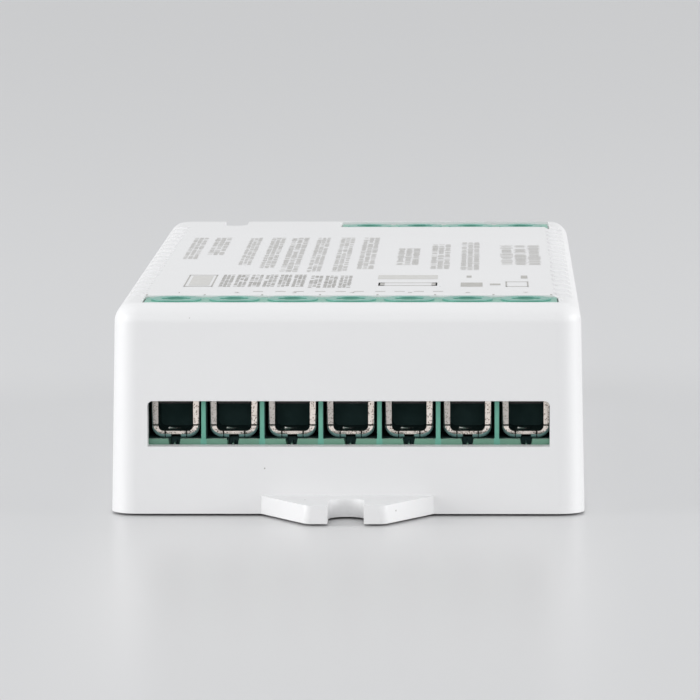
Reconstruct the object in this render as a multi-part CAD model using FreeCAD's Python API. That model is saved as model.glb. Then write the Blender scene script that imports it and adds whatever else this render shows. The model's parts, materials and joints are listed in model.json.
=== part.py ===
import FreeCAD, Part
import math
import os

# LED controller in a drafted snap-fit case, with rising-cage screw terminals at both ends.
# Millimetres. X to the right, Y to the rear, Z up. The origin is on the underside, in the middle.

# Case
case_length = 85.0
side_room = 0.95
wall = 1.6
roof = 1.6
draft_angle = 1.1
corner_radius = 2.3
top_round = 1.7
mould_gap = 0.1

# Fixing tabs of the cover
tab_height = 1.6
tab_root_width = 14.9
tab_tip_width = 6.7
tab_reach = 6.2
tab_corner = 0.9
tab_hole_width = 3.1
tab_hole_centre = 3.35

# Base plate and its snap hooks
plate = 1.6
hook_pitch = 23.0
hooks_per_side = 3
hook_width = 6.0
hook_thickness = 1.0
hook_height = 6.0
hook_nose = 0.55
hook_nose_height = 1.8

# Circuit board and the posts under it
board = 1.6
board_gap = 0.3
post_height = 1.6
post_side = 4.4
peg_radius = 0.95
peg_rise = 0.5
post_inset_x = 2.6

# Terminal blocks
pole_pitch = 5.08
front_poles = 7
rear_poles = 4
terminal_shift = 0.2
divider = 0.4
end_wall = 0.37
block_depth = 10.0
block_floor = 1.32
block_top_setback = 1.3
block_top_depth = 4.9
block_recess = 0.2
block_shoulder = 1.0
screw_setback = 4.2
chamber_play = 0.2
back_wall = 0.8
shelf = 1.2
driver_well = 1.87
driver_hole_radius = 1.3
joint_groove = 0.9
joint_groove_width = 0.5
floor_notch_width = 1.1
floor_notch_taper = 0.3
floor_rib = 0.16
floor_lip = 0.18
floor_lip_depth = 0.5

# Rising cages
strip = 0.62
cage_width = 4.2
cage_length = 3.9
cage_corner = 1.05
cage_groove_width = 0.85
cage_groove = 0.26
grip_rise = 0.14
grip_width = 0.6
wire_height = 2.34
slide_gap = 0.1
running_gap = 0.05

# Contact bars
bar_thickness = 0.7
bar_width = 2.8
bar_front = 2.6
pin_width = 1.0
pin_stub = 1.25
pin_room = 0.15

# Terminal screws
screw_radius = 1.25
screw_lead = 0.45
screw_turns = 4
head_radius = 1.9
head_height = 1.7
slot_width = 0.8
slot_depth = 0.9

# Openings of the cover
window_overlap = 0.33
window_left_room = 0.2
window_round = 0.45
window_sill_rise = 0.28
front_slit = 1.1
cutout_point = 0.4
vent_pitch = 4.15
vent_width = 2.5
vent_depth = 0.35
vent_run = 0.6
vent_reach = 2.35
vent_end = 9.2

# Pairing button, its recess and its switch
button_x = -13.3
button_setback = 4.5
recess_width = 2.3
recess_length = 6.2
recess_depth = 0.65
button_radius = 0.95
guide_wall = 0.8
guide_depth = 3.0
flange_radius = 1.5
flange_height = 0.8
stem_radius = 1.1
switch_size = 4.5
switch_height = 3.1
switch_lid = 0.15
plunger_radius = 1.2
plunger_rise = 0.55
plunger_flange = 0.5
dome_height = 0.45
dome_metal = 0.12

# Power transistors, with their distance behind the front block
mosfet_count = 5
mosfet_pitch = 6.9
mosfet_back = 5.6
mosfet_width = 6.4
mosfet_depth = 6.1
mosfet_height = 1.8
mosfet_tab = 0.5
mosfet_tab_width = 5.4
mosfet_tab_front = 4.1
mosfet_tab_rear = 2.4
mosfet_lead_spread = 4.56
mosfet_lead_reach = 1.9
mosfet_lead_width = 0.75
mosfet_lead_height = 1.1

# Small outline chips, with their distances from the blocks
lead_metal = 0.2
chip_depth = 3.9
chip_lift = 0.15
chip_height = 1.45
chip_lead_pitch = 1.27
chip_lead_reach = 1.05
chip_lead_width = 0.42
chip_lead_height = 0.75
driver_length = 8.65
driver_back = 14.0
regulator_length = 4.9
regulator_x = 4.4
regulator_back = 11.5

# Supply parts, with their distances from the rear block
can_margin = 0.15
can_foot = 0.9
input_can_radius = 4.0
input_can_height = 9.6
input_can_x = 12.2
input_can_back = 11.6
output_can_radius = 3.15
output_can_height = 6.8
output_can_x = 3.9
inductor_back = 21.0
inductor_x = 12.4
inductor_side = 7.2
inductor_height = 4.0
inductor_corner = 1.2
inductor_well_radius = 2.7
inductor_well = 0.3
diode_back = 28.4
diode_x = 4.4
diode_length = 4.4
diode_width = 2.7
diode_height = 2.2
fuse_back = 4.2
fuse_x = 10.2
fuse_length = 4.6
fuse_width = 3.2
fuse_height = 1.4

# Small chips and the status light
ceramic_width = 1.3
ceramic_length = 2.0
ceramic_height = 1.2
ceramic_step = 2.2
ceramic_x = 1.6
outer_ceramic_step = 2.4
outer_ceramic_x = 11.0
resistor_width = 0.8
resistor_length = 1.6
resistor_height = 0.45
resistor_step = 2.0
resistor_left = -11.6
resistor_right = 7.6
resistor_back = 12.4
resistor_row_step = 4.0
light_offset = 5.4
light_length = 2.0
light_width = 1.25
light_height = 0.8

# Radio module, with its distance from the rear block
module_x = -8.8
module_back = 13.6
module_width = 16.0
module_length = 24.0
module_board = 0.8
castellations = 9
castellation_pitch = 1.5
castellation_start = 2.2
castellation_width = 0.8
castellation_depth = 0.35
shield_width = 13.2
shield_length = 14.4
shield_margin = 1.4
shield_height = 2.2
shield_metal = 0.2
radio_side = 6.0
radio_height = 0.85

# Heights that follow from the stack of parts
board_bottom = plate + post_height
board_top = board_bottom + board
chamber_floor = board_top + block_floor
bar_bottom = chamber_floor + strip + wire_height
bar_top = bar_bottom + bar_thickness
cage_top = bar_top + slide_gap + 2 * strip
cage_travel = screw_turns * screw_lead
shelf_bottom = cage_top + cage_travel + chamber_play
head_seat = shelf_bottom + shelf
head_top = head_seat + head_height
well_bottom = head_top + slide_gap
block_top = well_bottom + driver_well
case_height = block_top + block_recess
roof_bottom = case_height - roof
window_sill = chamber_floor - window_sill_rise

# Lengths and widths that follow from the terminals and the case
draft_slope = math.tan(math.radians(draft_angle))
chamber_width = pole_pitch - divider
block_half_width = front_poles * pole_pitch / 2 + end_wall - divider / 2
half_width = block_half_width + side_room + wall
half_length = case_length / 2
block_face = half_length - wall - bar_top * draft_slope - mould_gap
block_back = block_face - block_depth
screw_y = block_face - screw_setback
cage_front = screw_y + cage_length / 2
cage_back = screw_y - cage_length / 2
chamber_back = cage_back - chamber_play
leg_front = chamber_back - back_wall
leg_back = leg_front - bar_thickness
button_y = half_length - button_setback
shell_clearance = wall + mould_gap

front_xs = [terminal_shift + (i - (front_poles - 1) / 2) * pole_pitch for i in range(front_poles)]
rear_xs = front_xs[front_poles - rear_poles:]


def vec(x, y, z):
    """A point or a direction."""
    return FreeCAD.Vector(x, y, z)


def block(x0, x1, y0, y1, z0, z1):
    """A box between two corners."""
    return Part.makeBox(x1 - x0, y1 - y0, z1 - z0, vec(x0, y0, z0))


def rod(radius, x, y, z0, z1):
    """An upright cylinder."""
    return Part.makeCylinder(radius, z1 - z0, vec(x, y, z0))


def prism(points, direction):
    """A solid swept from a flat polygon."""
    wire = Part.makePolygon(points + [points[0]])
    return Part.Face(wire).extrude(direction)


def one(shapes):
    """Several solids as one group."""
    return Part.makeCompound(shapes)


def turned(shape):
    """The same shape at the other end, half a turn about the vertical axis."""
    copy = shape.copy()
    copy.rotate(vec(0, 0, 0), vec(0, 0, 1), 180)
    return copy


def rounded_outline(half_x, half_y, radius, z):
    """A rectangle with round corners at a height, as a closed wire."""
    a, b, r = half_x, half_y, radius
    lines = [
        Part.LineSegment(vec(-a + r, -b, z), vec(a - r, -b, z)),
        Part.LineSegment(vec(a, -b + r, z), vec(a, b - r, z)),
        Part.LineSegment(vec(a - r, b, z), vec(-a + r, b, z)),
        Part.LineSegment(vec(-a, b - r, z), vec(-a, -b + r, z)),
    ]
    k = r * (1 - math.sqrt(0.5))
    middles = [vec(a - k, -b + k, z), vec(a - k, b - k, z), vec(-a + k, b - k, z), vec(-a + k, -b + k, z)]
    edges = []
    for i, line in enumerate(lines):
        following = lines[(i + 1) % 4]
        edges.append(line.toShape())
        edges.append(Part.Arc(line.EndPoint, middles[i], following.StartPoint).toShape())
    return Part.Wire(edges)


def slope_profile(half, z0, z1):
    """Half widths at two heights of a wall that leans inwards at the case's draft."""
    return half - z0 * draft_slope, half - z1 * draft_slope


def drafted_block(half_x, half_y, radius, z0, z1):
    """A block whose sides lean inwards at the case's draft, with round corners."""
    low, high = slope_profile(half_x, z0, z1)
    across = prism([vec(-low, -half_y, z0), vec(low, -half_y, z0), vec(high, -half_y, z1),
                    vec(-high, -half_y, z1)], vec(0, 2 * half_y, 0))
    low, high = slope_profile(half_y, z0, z1)
    along = prism([vec(-half_x, -low, z0), vec(-half_x, low, z0), vec(-half_x, high, z1),
                   vec(-half_x, -high, z1)], vec(2 * half_x, 0, 0))
    body = across.common(along).Solids[0]
    corners = [e for e in body.Edges if abs(e.Vertexes[0].Point.z - e.Vertexes[1].Point.z) > 1e-6]
    return body.makeFillet(radius, corners)


def upright_edges(shape, places):
    """The vertical edges of a shape that stand at the given places in plan."""
    found = []
    for edge in shape.Edges:
        if len(edge.Vertexes) != 2:
            continue
        a, b = edge.Vertexes[0].Point, edge.Vertexes[1].Point
        upright = abs(a.x - b.x) + abs(a.y - b.y) < 1e-6
        if upright and any(abs(a.x - x) + abs(a.y - y) < 1e-3 for x, y in places):
            found.append(edge)
    return found


def hook_places():
    """Where the snap hooks stand: side and place along the case."""
    middle = (hooks_per_side - 1) / 2
    return [(side, (i - middle) * hook_pitch) for side in (-1, 1) for i in range(hooks_per_side)]


def hook_face():
    """Distance from the middle to the outer face of a hook."""
    return half_width - (plate + hook_height) * draft_slope - shell_clearance


def post_places():
    """Where the board's posts stand, clear of the parts on it."""
    x = half_width - wall - post_inset_x
    front = [(-x, -block_back + 15.5), (x, -block_back + 15.5)]
    return front + [(-x, block_back + 1.6), (x, block_back - 4.4)]


def peg_places():
    """The two posts, one at each end, whose pegs locate the board."""
    return post_places()[1:3]


# Base plate

def snap_hook(side, y):
    """One snap hook: a springy tongue with a nose that faces outwards."""
    outer = hook_face()
    z0, z1 = plate - 0.2, plate + hook_height
    tongue = block(outer - hook_thickness, outer, y - hook_width / 2, y + hook_width / 2, z0, z1)
    low = z1 - hook_nose_height
    profile = [vec(outer, 0, low), vec(outer + hook_nose, 0, low + 0.3), vec(outer, 0, z1)]
    nose = prism(profile, vec(0, hook_width, 0))
    nose.translate(vec(0, y - hook_width / 2, 0))
    hook = tongue.fuse(nose)
    return hook if side > 0 else hook.mirror(vec(0, 0, 0), vec(1, 0, 0))


def base_plate():
    """The floor of the case, with hooks, and posts that carry the board."""
    inset = plate * draft_slope + shell_clearance
    outline = rounded_outline(half_width - inset, half_length - inset, inner_radius(), 0)
    body = Part.Face(outline).extrude(vec(0, 0, plate))
    parts = [snap_hook(side, y) for side, y in hook_places()]
    half = post_side / 2
    for x, y in post_places():
        parts.append(block(x - half, x + half, y - half, y + half, plate - 0.2, board_bottom))
    for x, y in peg_places():
        parts.append(rod(peg_radius, x, y, board_bottom - 0.2, board_top + peg_rise))
    return body.multiFuse(parts).removeSplitter()


# Cover

def inner_radius():
    """Corner radius inside the wall."""
    return max(corner_radius - wall, 0.3)


def side_window(xs):
    """The opening in the front wall through which the wires go in."""
    reach = chamber_width / 2 - window_overlap
    x0, x1 = xs[0] - reach - window_left_room, xs[-1] + reach
    y0 = -half_length - 1
    y1 = -block_face - mould_gap / 2
    opening = block(x0, x1, y0, y1, window_sill, bar_top)
    edges = [e for e in opening.Edges if abs(e.CenterOfMass.z - bar_top) < 1e-6
             and abs(e.Vertexes[0].Point.y - e.Vertexes[1].Point.y) > 1e-6]
    return opening.makeFillet(window_round, edges)


def top_cutout(xs):
    """The opening in the roof over the screws, with a small pointed relief at each end."""
    x0 = xs[0] - pole_pitch / 2 + divider / 2 - end_wall - mould_gap
    x1 = xs[-1] + pole_pitch / 2 - divider / 2 + end_wall + mould_gap
    y1 = -block_face + block_top_setback + block_top_depth + mould_gap
    y0 = -block_face + block_top_setback - front_slit
    point_y = y0 + 2 * front_slit
    step = cutout_point * 1.3
    plan = [vec(x0, y0, roof_bottom), vec(x1, y0, roof_bottom),
            vec(x1, point_y - step, roof_bottom), vec(x1 + cutout_point, point_y, roof_bottom),
            vec(x1, point_y + step, roof_bottom), vec(x1, y1, roof_bottom), vec(x0, y1, roof_bottom),
            vec(x0, point_y + step, roof_bottom), vec(x0 - cutout_point, point_y, roof_bottom),
            vec(x0, point_y - step, roof_bottom)]
    return prism(plan, vec(0, 0, roof + 1))


def vent_grooves():
    """The rows of shallow cross grooves along both long top edges."""
    span = case_length - 2 * vent_end
    gaps = int(span / vent_pitch)
    edge = half_width - case_height * draft_slope
    x0 = edge - vent_reach + vent_run
    top = case_height + 1
    floor = case_height - vent_depth
    profile = [vec(x0 - vent_run, 0, case_height), vec(x0 - vent_run, 0, top), vec(half_width + 1, 0, top),
               vec(half_width + 1, 0, floor), vec(x0, 0, floor)]
    groove = prism(profile, vec(0, vent_width, 0))
    cuts = []
    for i in range(gaps + 1):
        y = (i - gaps / 2) * vent_pitch - vent_width / 2
        right = groove.copy()
        right.translate(vec(0, y, 0))
        cuts.append(right)
        cuts.append(right.mirror(vec(0, 0, 0), vec(1, 0, 0)))
    return cuts


def button_recess():
    """The round-ended channel at the rear edge, with the hole for the button."""
    r = recess_width / 2
    z0 = case_height - recess_depth
    y0 = half_length - case_height * draft_slope - recess_length + r
    channel = block(button_x - r, button_x + r, y0, half_length + 1, z0, case_height + 1)
    end = rod(r, button_x, y0, z0, case_height + 1)
    return channel.fuse(end)


def hook_pocket(side, y):
    """The pocket in the side wall that takes the nose of a hook."""
    x0 = hook_face() - 0.5
    x1 = hook_face() + hook_nose + mould_gap
    z1 = plate + hook_height
    pocket = block(x0, x1, y - hook_width / 2 - mould_gap, y + hook_width / 2 + mould_gap,
                   z1 - hook_nose_height - mould_gap, z1 + mould_gap)
    return pocket if side > 0 else pocket.mirror(vec(0, 0, 0), vec(1, 0, 0))


def hold_down_ribs():
    """Gussets on the side walls that keep the board on its posts."""
    ribs = []
    tip = half_width - wall - 1.7
    for side in (-1, 1):
        for y in (-hook_pitch / 2, hook_pitch / 2):
            rib = block(tip, half_width - wall, y - 0.6, y + 0.6, board_top + mould_gap, roof_bottom + 0.2)
            ribs.append(rib if side > 0 else rib.mirror(vec(0, 0, 0), vec(1, 0, 0)))
    return ribs


def screw_tab():
    """One fixing tab, with an open round-ended notch for a screw."""
    face = half_length
    root = tab_root_width / 2
    tip = tab_tip_width / 2
    end = face + tab_reach
    start = half_length - wall / 2
    plan = [vec(-root, start, 0), vec(-root, face, 0), vec(-tip, end, 0), vec(tip, end, 0),
            vec(root, face, 0), vec(root, start, 0)]
    tab = prism(plan, vec(0, 0, tab_height))
    tab = tab.makeFillet(tab_corner, upright_edges(tab, [(-tip, end), (tip, end)]))
    notch_y = face + tab_hole_centre
    notch = rod(tab_hole_width / 2, 0, notch_y, 0, tab_height)
    mouth = block(-tab_hole_width / 2, tab_hole_width / 2, notch_y, end + 1, 0, tab_height)
    return tab.cut(notch.fuse(mouth))


def top_cover():
    """The white cover: four drafted walls, the roof and both fixing tabs in one moulding."""
    outside = drafted_block(half_width, half_length, corner_radius, 0, case_height)
    rim = [e for e in outside.Edges if all(abs(v.Point.z - case_height) < 1e-6 for v in e.Vertexes)]
    outside = outside.makeFillet(top_round, rim)
    inside = drafted_block(half_width - wall, half_length - wall, inner_radius(), 0, roof_bottom)
    shell = outside.cut(inside)
    guide_r = button_radius + running_gap
    boss = rod(guide_r + guide_wall, button_x, button_y, roof_bottom - guide_depth, roof_bottom + 0.2)
    walls = drafted_block(half_width - wall / 2, half_length - wall / 2, inner_radius(), 0, case_height)
    ribs = [rib.common(walls) for rib in hold_down_ribs()]
    tab = screw_tab()
    shell = shell.multiFuse(ribs + [boss, tab, turned(tab)])
    cuts = [side_window(front_xs), top_cutout(front_xs)]
    mirrored = [-x for x in reversed(rear_xs)]
    cuts += [turned(side_window(mirrored)), turned(top_cutout(mirrored))]
    cuts += vent_grooves()
    cuts += [hook_pocket(side, y) for side, y in hook_places()]
    cuts += [button_recess(), rod(guide_r, button_x, button_y, roof_bottom - guide_depth - 1, case_height)]
    return shell.cut(cuts).removeSplitter()


# Terminal blocks, built for the front wall

def housing_outline(x0, x1):
    """The solid outside of a block: a house-shaped profile drawn along the row."""
    z0, z1 = board_top, block_top
    top_front = -block_face + block_top_setback
    top_back = top_front + block_top_depth
    under_roof = roof_bottom - mould_gap
    profile = [vec(x0, -block_face, z0), vec(x0, -block_face, bar_top + 1.2), vec(x0, top_front, z1),
               vec(x0, top_back, z1), vec(x0, top_back, under_roof),
               vec(x0, top_back + block_shoulder, under_roof), vec(x0, -block_back, shelf_bottom),
               vec(x0, -block_back, z0)]
    return prism(profile, vec(x1 - x0, 0, 0))


def square_well(x, half, z0, z1):
    """A square pocket round a screw's axis."""
    return block(x - half, x + half, -screw_y - half, -screw_y + half, z0, z1)


def pole_cuts(x):
    """Everything that is hollow in one pole: mouth, cage chamber, screw well and contact slots."""
    half = chamber_width / 2
    chamber_front = -cage_front - chamber_play
    chamber = block(x - half, x + half, chamber_front, -chamber_back, chamber_floor, shelf_bottom)
    lip_back = -block_face + floor_lip_depth
    mouth = block(x - half, x + half, lip_back, chamber_front + 0.2, chamber_floor, bar_top)
    entry = block(x - half, x + half, -block_face - 1, lip_back + 0.1, chamber_floor + floor_lip, bar_top)
    shank = square_well(x, screw_radius + 2 * running_gap, shelf_bottom - 0.1, head_seat)
    head = square_well(x, head_radius + 2 * running_gap, head_seat, well_bottom)
    driver = rod(driver_hole_radius, x, -screw_y, well_bottom, block_top + 1)
    slot = block(x - bar_width / 2 - mould_gap, x + bar_width / 2 + mould_gap,
                 -chamber_back - 0.1, -leg_back, bar_bottom, bar_top)
    leg = block(x - bar_width / 2 - mould_gap, x + bar_width / 2 + mould_gap,
                -leg_front, -block_back + 1, board_top - 1, bar_top)
    return [chamber, mouth, entry, shank, head, driver, slot, leg, floor_notch(x)]


def floor_notch(x):
    """The tapered notch in the front edge of a pole's floor, split by a thin rib."""
    top = floor_notch_width / 2
    bottom = top - floor_notch_taper
    y0 = -block_face - 1
    profile = [vec(x - bottom, y0, board_top - 0.1), vec(x + bottom, y0, board_top - 0.1),
               vec(x + top, y0, chamber_floor + 0.3), vec(x - top, y0, chamber_floor + 0.3)]
    notch = prism(profile, vec(0, block_face + 1 - cage_front + 1.0, 0))
    rib = block(x - floor_rib / 2, x + floor_rib / 2, -block_face + 0.6, 0, board_top, chamber_floor - 0.25)
    return notch.cut(rib)


def joint_cut(x):
    """The upright groove at the front, where two poles of a block join."""
    y = -block_face + block_top_setback
    w = joint_groove_width / 2
    plan = [vec(x - w, y - 1, shelf_bottom), vec(x + w, y - 1, shelf_bottom), vec(x + w, y, shelf_bottom),
            vec(x + w / 4, y + joint_groove, shelf_bottom), vec(x - w / 4, y + joint_groove, shelf_bottom),
            vec(x - w, y, shelf_bottom)]
    return prism(plan, vec(0, 0, block_top - shelf_bottom + 1))


def terminal_housing(xs):
    """The green housing of one block for the poles at the given places."""
    reach = chamber_width / 2 + end_wall
    body = housing_outline(xs[0] - reach, xs[-1] + reach)
    cuts = []
    for x in xs:
        cuts += pole_cuts(x)
    cuts += [joint_cut((a + b) / 2 + 0.15) for a, b in zip(xs, xs[1:])]
    return body.cut(cuts).removeSplitter()


def cage_outline(x):
    """The outside of a cage, with its two lower edges bent round."""
    half = cage_width / 2
    shape = block(x - half, x + half, -cage_front, -cage_back, chamber_floor, cage_top)
    lower = [e for e in shape.Edges if abs(e.CenterOfMass.z - chamber_floor) < 1e-6
             and abs(e.Vertexes[0].Point.y - e.Vertexes[1].Point.y) > 1e-6]
    return shape.makeFillet(cage_corner, lower)


def cage(x):
    """A clamping cage: a closed loop of strip, doubled and tapped at the top."""
    plate_bottom = cage_top - 2 * strip
    inside = cage_width / 2 - strip
    opening = block(x - inside, x + inside, -cage_front - 1, -cage_back + 1,
                    chamber_floor + strip, plate_bottom)
    loop = cage_outline(x).cut(opening)
    tapped = rod(screw_radius + running_gap, x, -screw_y, plate_bottom, cage_top)
    groove = block(x - cage_groove_width / 2, x + cage_groove_width / 2, -cage_front, -cage_back,
                   chamber_floor, chamber_floor + cage_groove)
    floor = chamber_floor + strip
    reach = bar_width / 2 - 0.4
    half = grip_width / 2
    grip = [vec(x - reach, -screw_y - half, floor - 0.1), vec(x - reach, -screw_y, floor + grip_rise),
            vec(x - reach, -screw_y + half, floor - 0.1)]
    ridge = prism(grip, vec(2 * reach, 0, 0))
    return loop.cut([tapped, groove]).fuse(ridge).removeSplitter()


def screw(x):
    """A slotted cheese-head terminal screw, held in its well."""
    shank = rod(screw_radius, x, -screw_y, bar_top + slide_gap + running_gap, head_seat)
    head = rod(head_radius, x, -screw_y, head_seat, head_top)
    slot = block(x - head_radius - 1, x + head_radius + 1, -screw_y - slot_width / 2,
                 -screw_y + slot_width / 2, head_top - slot_depth, head_top + 1)
    return shank.fuse(head).cut(slot).removeSplitter()


def contact_bar(x):
    """A contact bar: flat through the cage, bent down behind it, with a solder pin."""
    y0 = -block_face + bar_front
    y1 = -leg_back
    flat = block(x - bar_width / 2, x + bar_width / 2, y0, y1, bar_bottom, bar_top)
    leg = block(x - bar_width / 2, x + bar_width / 2, -leg_front, y1, board_top, bar_top)
    half = pin_width / 2
    pin = block(x - half, x + half, -leg_front, y1, board_bottom - pin_stub, board_top + 0.1)
    return flat.multiFuse([leg, pin]).removeSplitter()


# Circuit board

def circuit_board():
    """The board, with peg holes, pin holes and clearances for the hooks."""
    half_x = half_width - wall - board_top * draft_slope - board_gap
    half_y = half_length - wall - board_top * draft_slope - board_gap
    plan = rounded_outline(half_x, half_y, 0.8, board_bottom)
    sheet = Part.Face(plan).extrude(vec(0, 0, board))
    cuts = [rod(peg_radius + mould_gap, x, y, board_bottom - 1, board_top + 1) for x, y in peg_places()]
    pin_y = (leg_front + leg_back) / 2
    across, along = pin_width / 2 + pin_room, bar_thickness / 2 + pin_room
    places = [(x, -pin_y) for x in front_xs] + [(x, pin_y) for x in rear_xs]
    for x, y in places:
        cuts.append(block(x - across, x + across, y - along, y + along, board_bottom, board_top))
    inner = hook_face() - hook_thickness - board_gap
    for side, y in hook_places():
        notch = block(inner, half_width, y - hook_width / 2 - board_gap, y + hook_width / 2 + board_gap,
                      board_bottom - 1, board_top + 1)
        cuts.append(notch if side > 0 else notch.mirror(vec(0, 0, 0), vec(1, 0, 0)))
    return sheet.cut(cuts).removeSplitter()


# Parts on the board

def moulded_body(x, y, size_x, size_y, z0, height):
    """A moulded package whose upper half tapers a little."""
    lean = 0.08 * height
    a, b = size_x / 2, size_y / 2
    middle = z0 + height / 2
    def ring(inset, z):
        return Part.makePolygon([vec(x - a + inset, y - b + inset, z), vec(x + a - inset, y - b + inset, z),
                                 vec(x + a - inset, y + b - inset, z), vec(x - a + inset, y + b - inset, z),
                                 vec(x - a + inset, y - b + inset, z)])
    lower = Part.makeLoft([ring(lean, z0), ring(0, middle)], True, True)
    upper = Part.makeLoft([ring(0, middle), ring(lean, z0 + height)], True, True)
    return lower.fuse(upper).removeSplitter()


def gull_leg(x, y, side, reach, width, height):
    """A bent lead from a package's side at height down to the board."""
    t = lead_metal
    z = board_top
    profile = [vec(0, 0, z + height), vec(0, 0, z + height + t), vec(0, reach / 2, z + height + t),
               vec(0, reach, z + t), vec(0, reach, z), vec(0, reach / 2 - t, z + height)]
    leg = prism(profile, vec(width, 0, 0))
    leg.translate(vec(-width / 2, 0, 0))
    if side < 0:
        leg = leg.mirror(vec(0, 0, 0), vec(0, 1, 0))
    leg.translate(vec(x, y, 0))
    return leg


def small_outline_chip(x, y, pins, length):
    """A chip with leads on its two long sides: the body and the leads."""
    body = moulded_body(x, y, length, chip_depth, board_top + chip_lift, chip_height)
    legs = []
    for i in range(pins // 2):
        px = x + (i - (pins // 2 - 1) / 2) * chip_lead_pitch
        for side in (1, -1):
            legs.append(gull_leg(px, y + side * chip_depth / 2, side, chip_lead_reach,
                                 chip_lead_width, chip_lead_height))
    return body, legs


def mosfets():
    """The row of power transistors behind the output block: bodies and metal parts."""
    bodies, metal = [], []
    y = -block_back + mosfet_back
    half = mosfet_tab_width / 2
    tab_top = board_top + mosfet_tab
    for i in range(mosfet_count):
        x = (i - (mosfet_count - 1) / 2) * mosfet_pitch
        bodies.append(moulded_body(x, y, mosfet_width, mosfet_depth, tab_top, mosfet_height))
        metal.append(block(x - half, x + half, y - mosfet_tab_front, y + mosfet_tab_rear,
                           board_top, tab_top))
        for side in (-1, 1):
            metal.append(gull_leg(x + side * mosfet_lead_spread / 2, y + mosfet_depth / 2, 1,
                                  mosfet_lead_reach, mosfet_lead_width, mosfet_lead_height))
    return one(bodies), one(metal)


def can_capacitor(x, y, radius, height):
    """An aluminium can on a moulded foot: the can and the foot."""
    side = radius + can_margin
    z0 = board_top + can_foot
    foot = block(x - side, x + side, y - side, y + side, board_top, z0)
    corners = upright_edges(foot, [(x - side, y - side), (x + side, y - side)])
    foot = foot.makeChamfer(side * 0.3, corners)
    return rod(radius, x, y, z0, z0 + height), foot


def power_inductor(x, y):
    """A shielded inductor: a rounded ferrite block with a round recess in its top."""
    half = inductor_side / 2
    top = board_top + inductor_height
    body = block(x - half, x + half, y - half, y + half, board_top, top)
    corners = [(x + i * half, y + j * half) for i in (-1, 1) for j in (-1, 1)]
    body = body.makeFillet(inductor_corner, upright_edges(body, corners))
    return body.cut(rod(inductor_well_radius, x, y, top - inductor_well, top))


def wireless_module(x, y):
    """The radio module: its own small board, its chip and its shield."""
    hx, hy = module_width / 2, module_length / 2
    z0, z1 = board_top, board_top + module_board
    sheet = block(x - hx, x + hx, y - hy, y + hy, z0, z1)
    deep, half = castellation_depth, castellation_width / 2
    cuts = []
    for i in range(castellations):
        py = y - hy + castellation_start + i * castellation_pitch
        for edge in (x - hx, x + hx):
            cuts.append(block(edge - deep, edge + deep, py - half, py + half, z0, z1))
    sheet = sheet.cut(cuts)
    a, b, m = shield_width / 2, shield_length / 2, shield_metal
    cy = y - hy + shield_margin + b
    outer = block(x - a, x + a, cy - b, cy + b, z1, z1 + shield_height)
    inner = block(x - a + m, x + a - m, cy - b + m, cy + b - m, z1, z1 + shield_height - m)
    c = radio_side / 2
    chip = block(x - c, x + c, cy - c, cy + c, z1, z1 + radio_height)
    return sheet, outer.cut(inner), chip


def chip_row(x, y, step, size_x, size_y, height):
    """A row of three equal small chips on the board, side by side."""
    chips = []
    for i in range(3):
        left = x + i * step - size_x / 2
        chips.append(block(left, left + size_x, y - size_y / 2, y + size_y / 2,
                           board_top, board_top + height))
    return chips


def small_chips():
    """The ceramic capacitors by the supply and the gate resistors: two lists of chips."""
    front, rear = -block_back, block_back
    size = (ceramic_width, ceramic_length, ceramic_height)
    ceramics = chip_row(ceramic_x, rear - fuse_back, ceramic_step, *size)
    ceramics += chip_row(outer_ceramic_x, rear - diode_back, outer_ceramic_step, *size)
    size = (resistor_width, resistor_length, resistor_height)
    row = front + resistor_back
    resistors = chip_row(resistor_left, row, resistor_step, *size)
    resistors += chip_row(resistor_right, row, resistor_step, *size)
    resistors += chip_row(resistor_left, row + resistor_row_step, resistor_step, *size)
    return ceramics, resistors


# Pairing button and its switch

def switch_parts():
    """The tactile switch under the button: its body, metal lid, dome and plunger."""
    x, y, half = button_x, button_y, switch_size / 2
    z0 = board_top
    lid_bottom = z0 + switch_height
    lid_top = lid_bottom + switch_lid
    flange_r = plunger_radius + 0.5
    flange_bottom = lid_bottom - plunger_flange
    pocket_bottom = flange_bottom - dome_height - dome_metal
    body = block(x - half, x + half, y - half, y + half, z0, lid_bottom)
    body = body.cut(rod(flange_r + 0.1, x, y, pocket_bottom, lid_bottom + 1))
    lid = block(x - half, x + half, y - half, y + half, lid_bottom, lid_top)
    lid = lid.cut(rod(plunger_radius + 0.1, x, y, lid_bottom - 1, lid_top + 1))
    plunger = rod(plunger_radius, x, y, flange_bottom, lid_top + plunger_rise)
    plunger = plunger.fuse(rod(flange_r, x, y, flange_bottom, lid_bottom)).removeSplitter()
    rim = flange_r - 0.1
    outer = Part.makeCone(rim, 0.6, dome_height + dome_metal, vec(x, y, pocket_bottom))
    inner = Part.makeCone(rim - 2 * dome_metal, 0.4, dome_height, vec(x, y, pocket_bottom))
    dome = outer.cut(inner)
    return body, lid, dome, plunger


def pairing_button():
    """The long button: a guided tip, a flange under its guide and a stem down to the switch."""
    x, y = button_x, button_y
    tip = case_height - recess_depth - mould_gap
    flange_top = roof_bottom - guide_depth
    stem_bottom = board_top + switch_height + switch_lid + plunger_rise
    top = rod(button_radius, x, y, flange_top - 0.1, tip)
    flange = rod(flange_radius, x, y, flange_top - flange_height, flange_top)
    stem = rod(stem_radius, x, y, stem_bottom, flange_top - flange_height + 0.1)
    return top.multiFuse([flange, stem]).removeSplitter()


# Every piece under its own name

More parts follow.
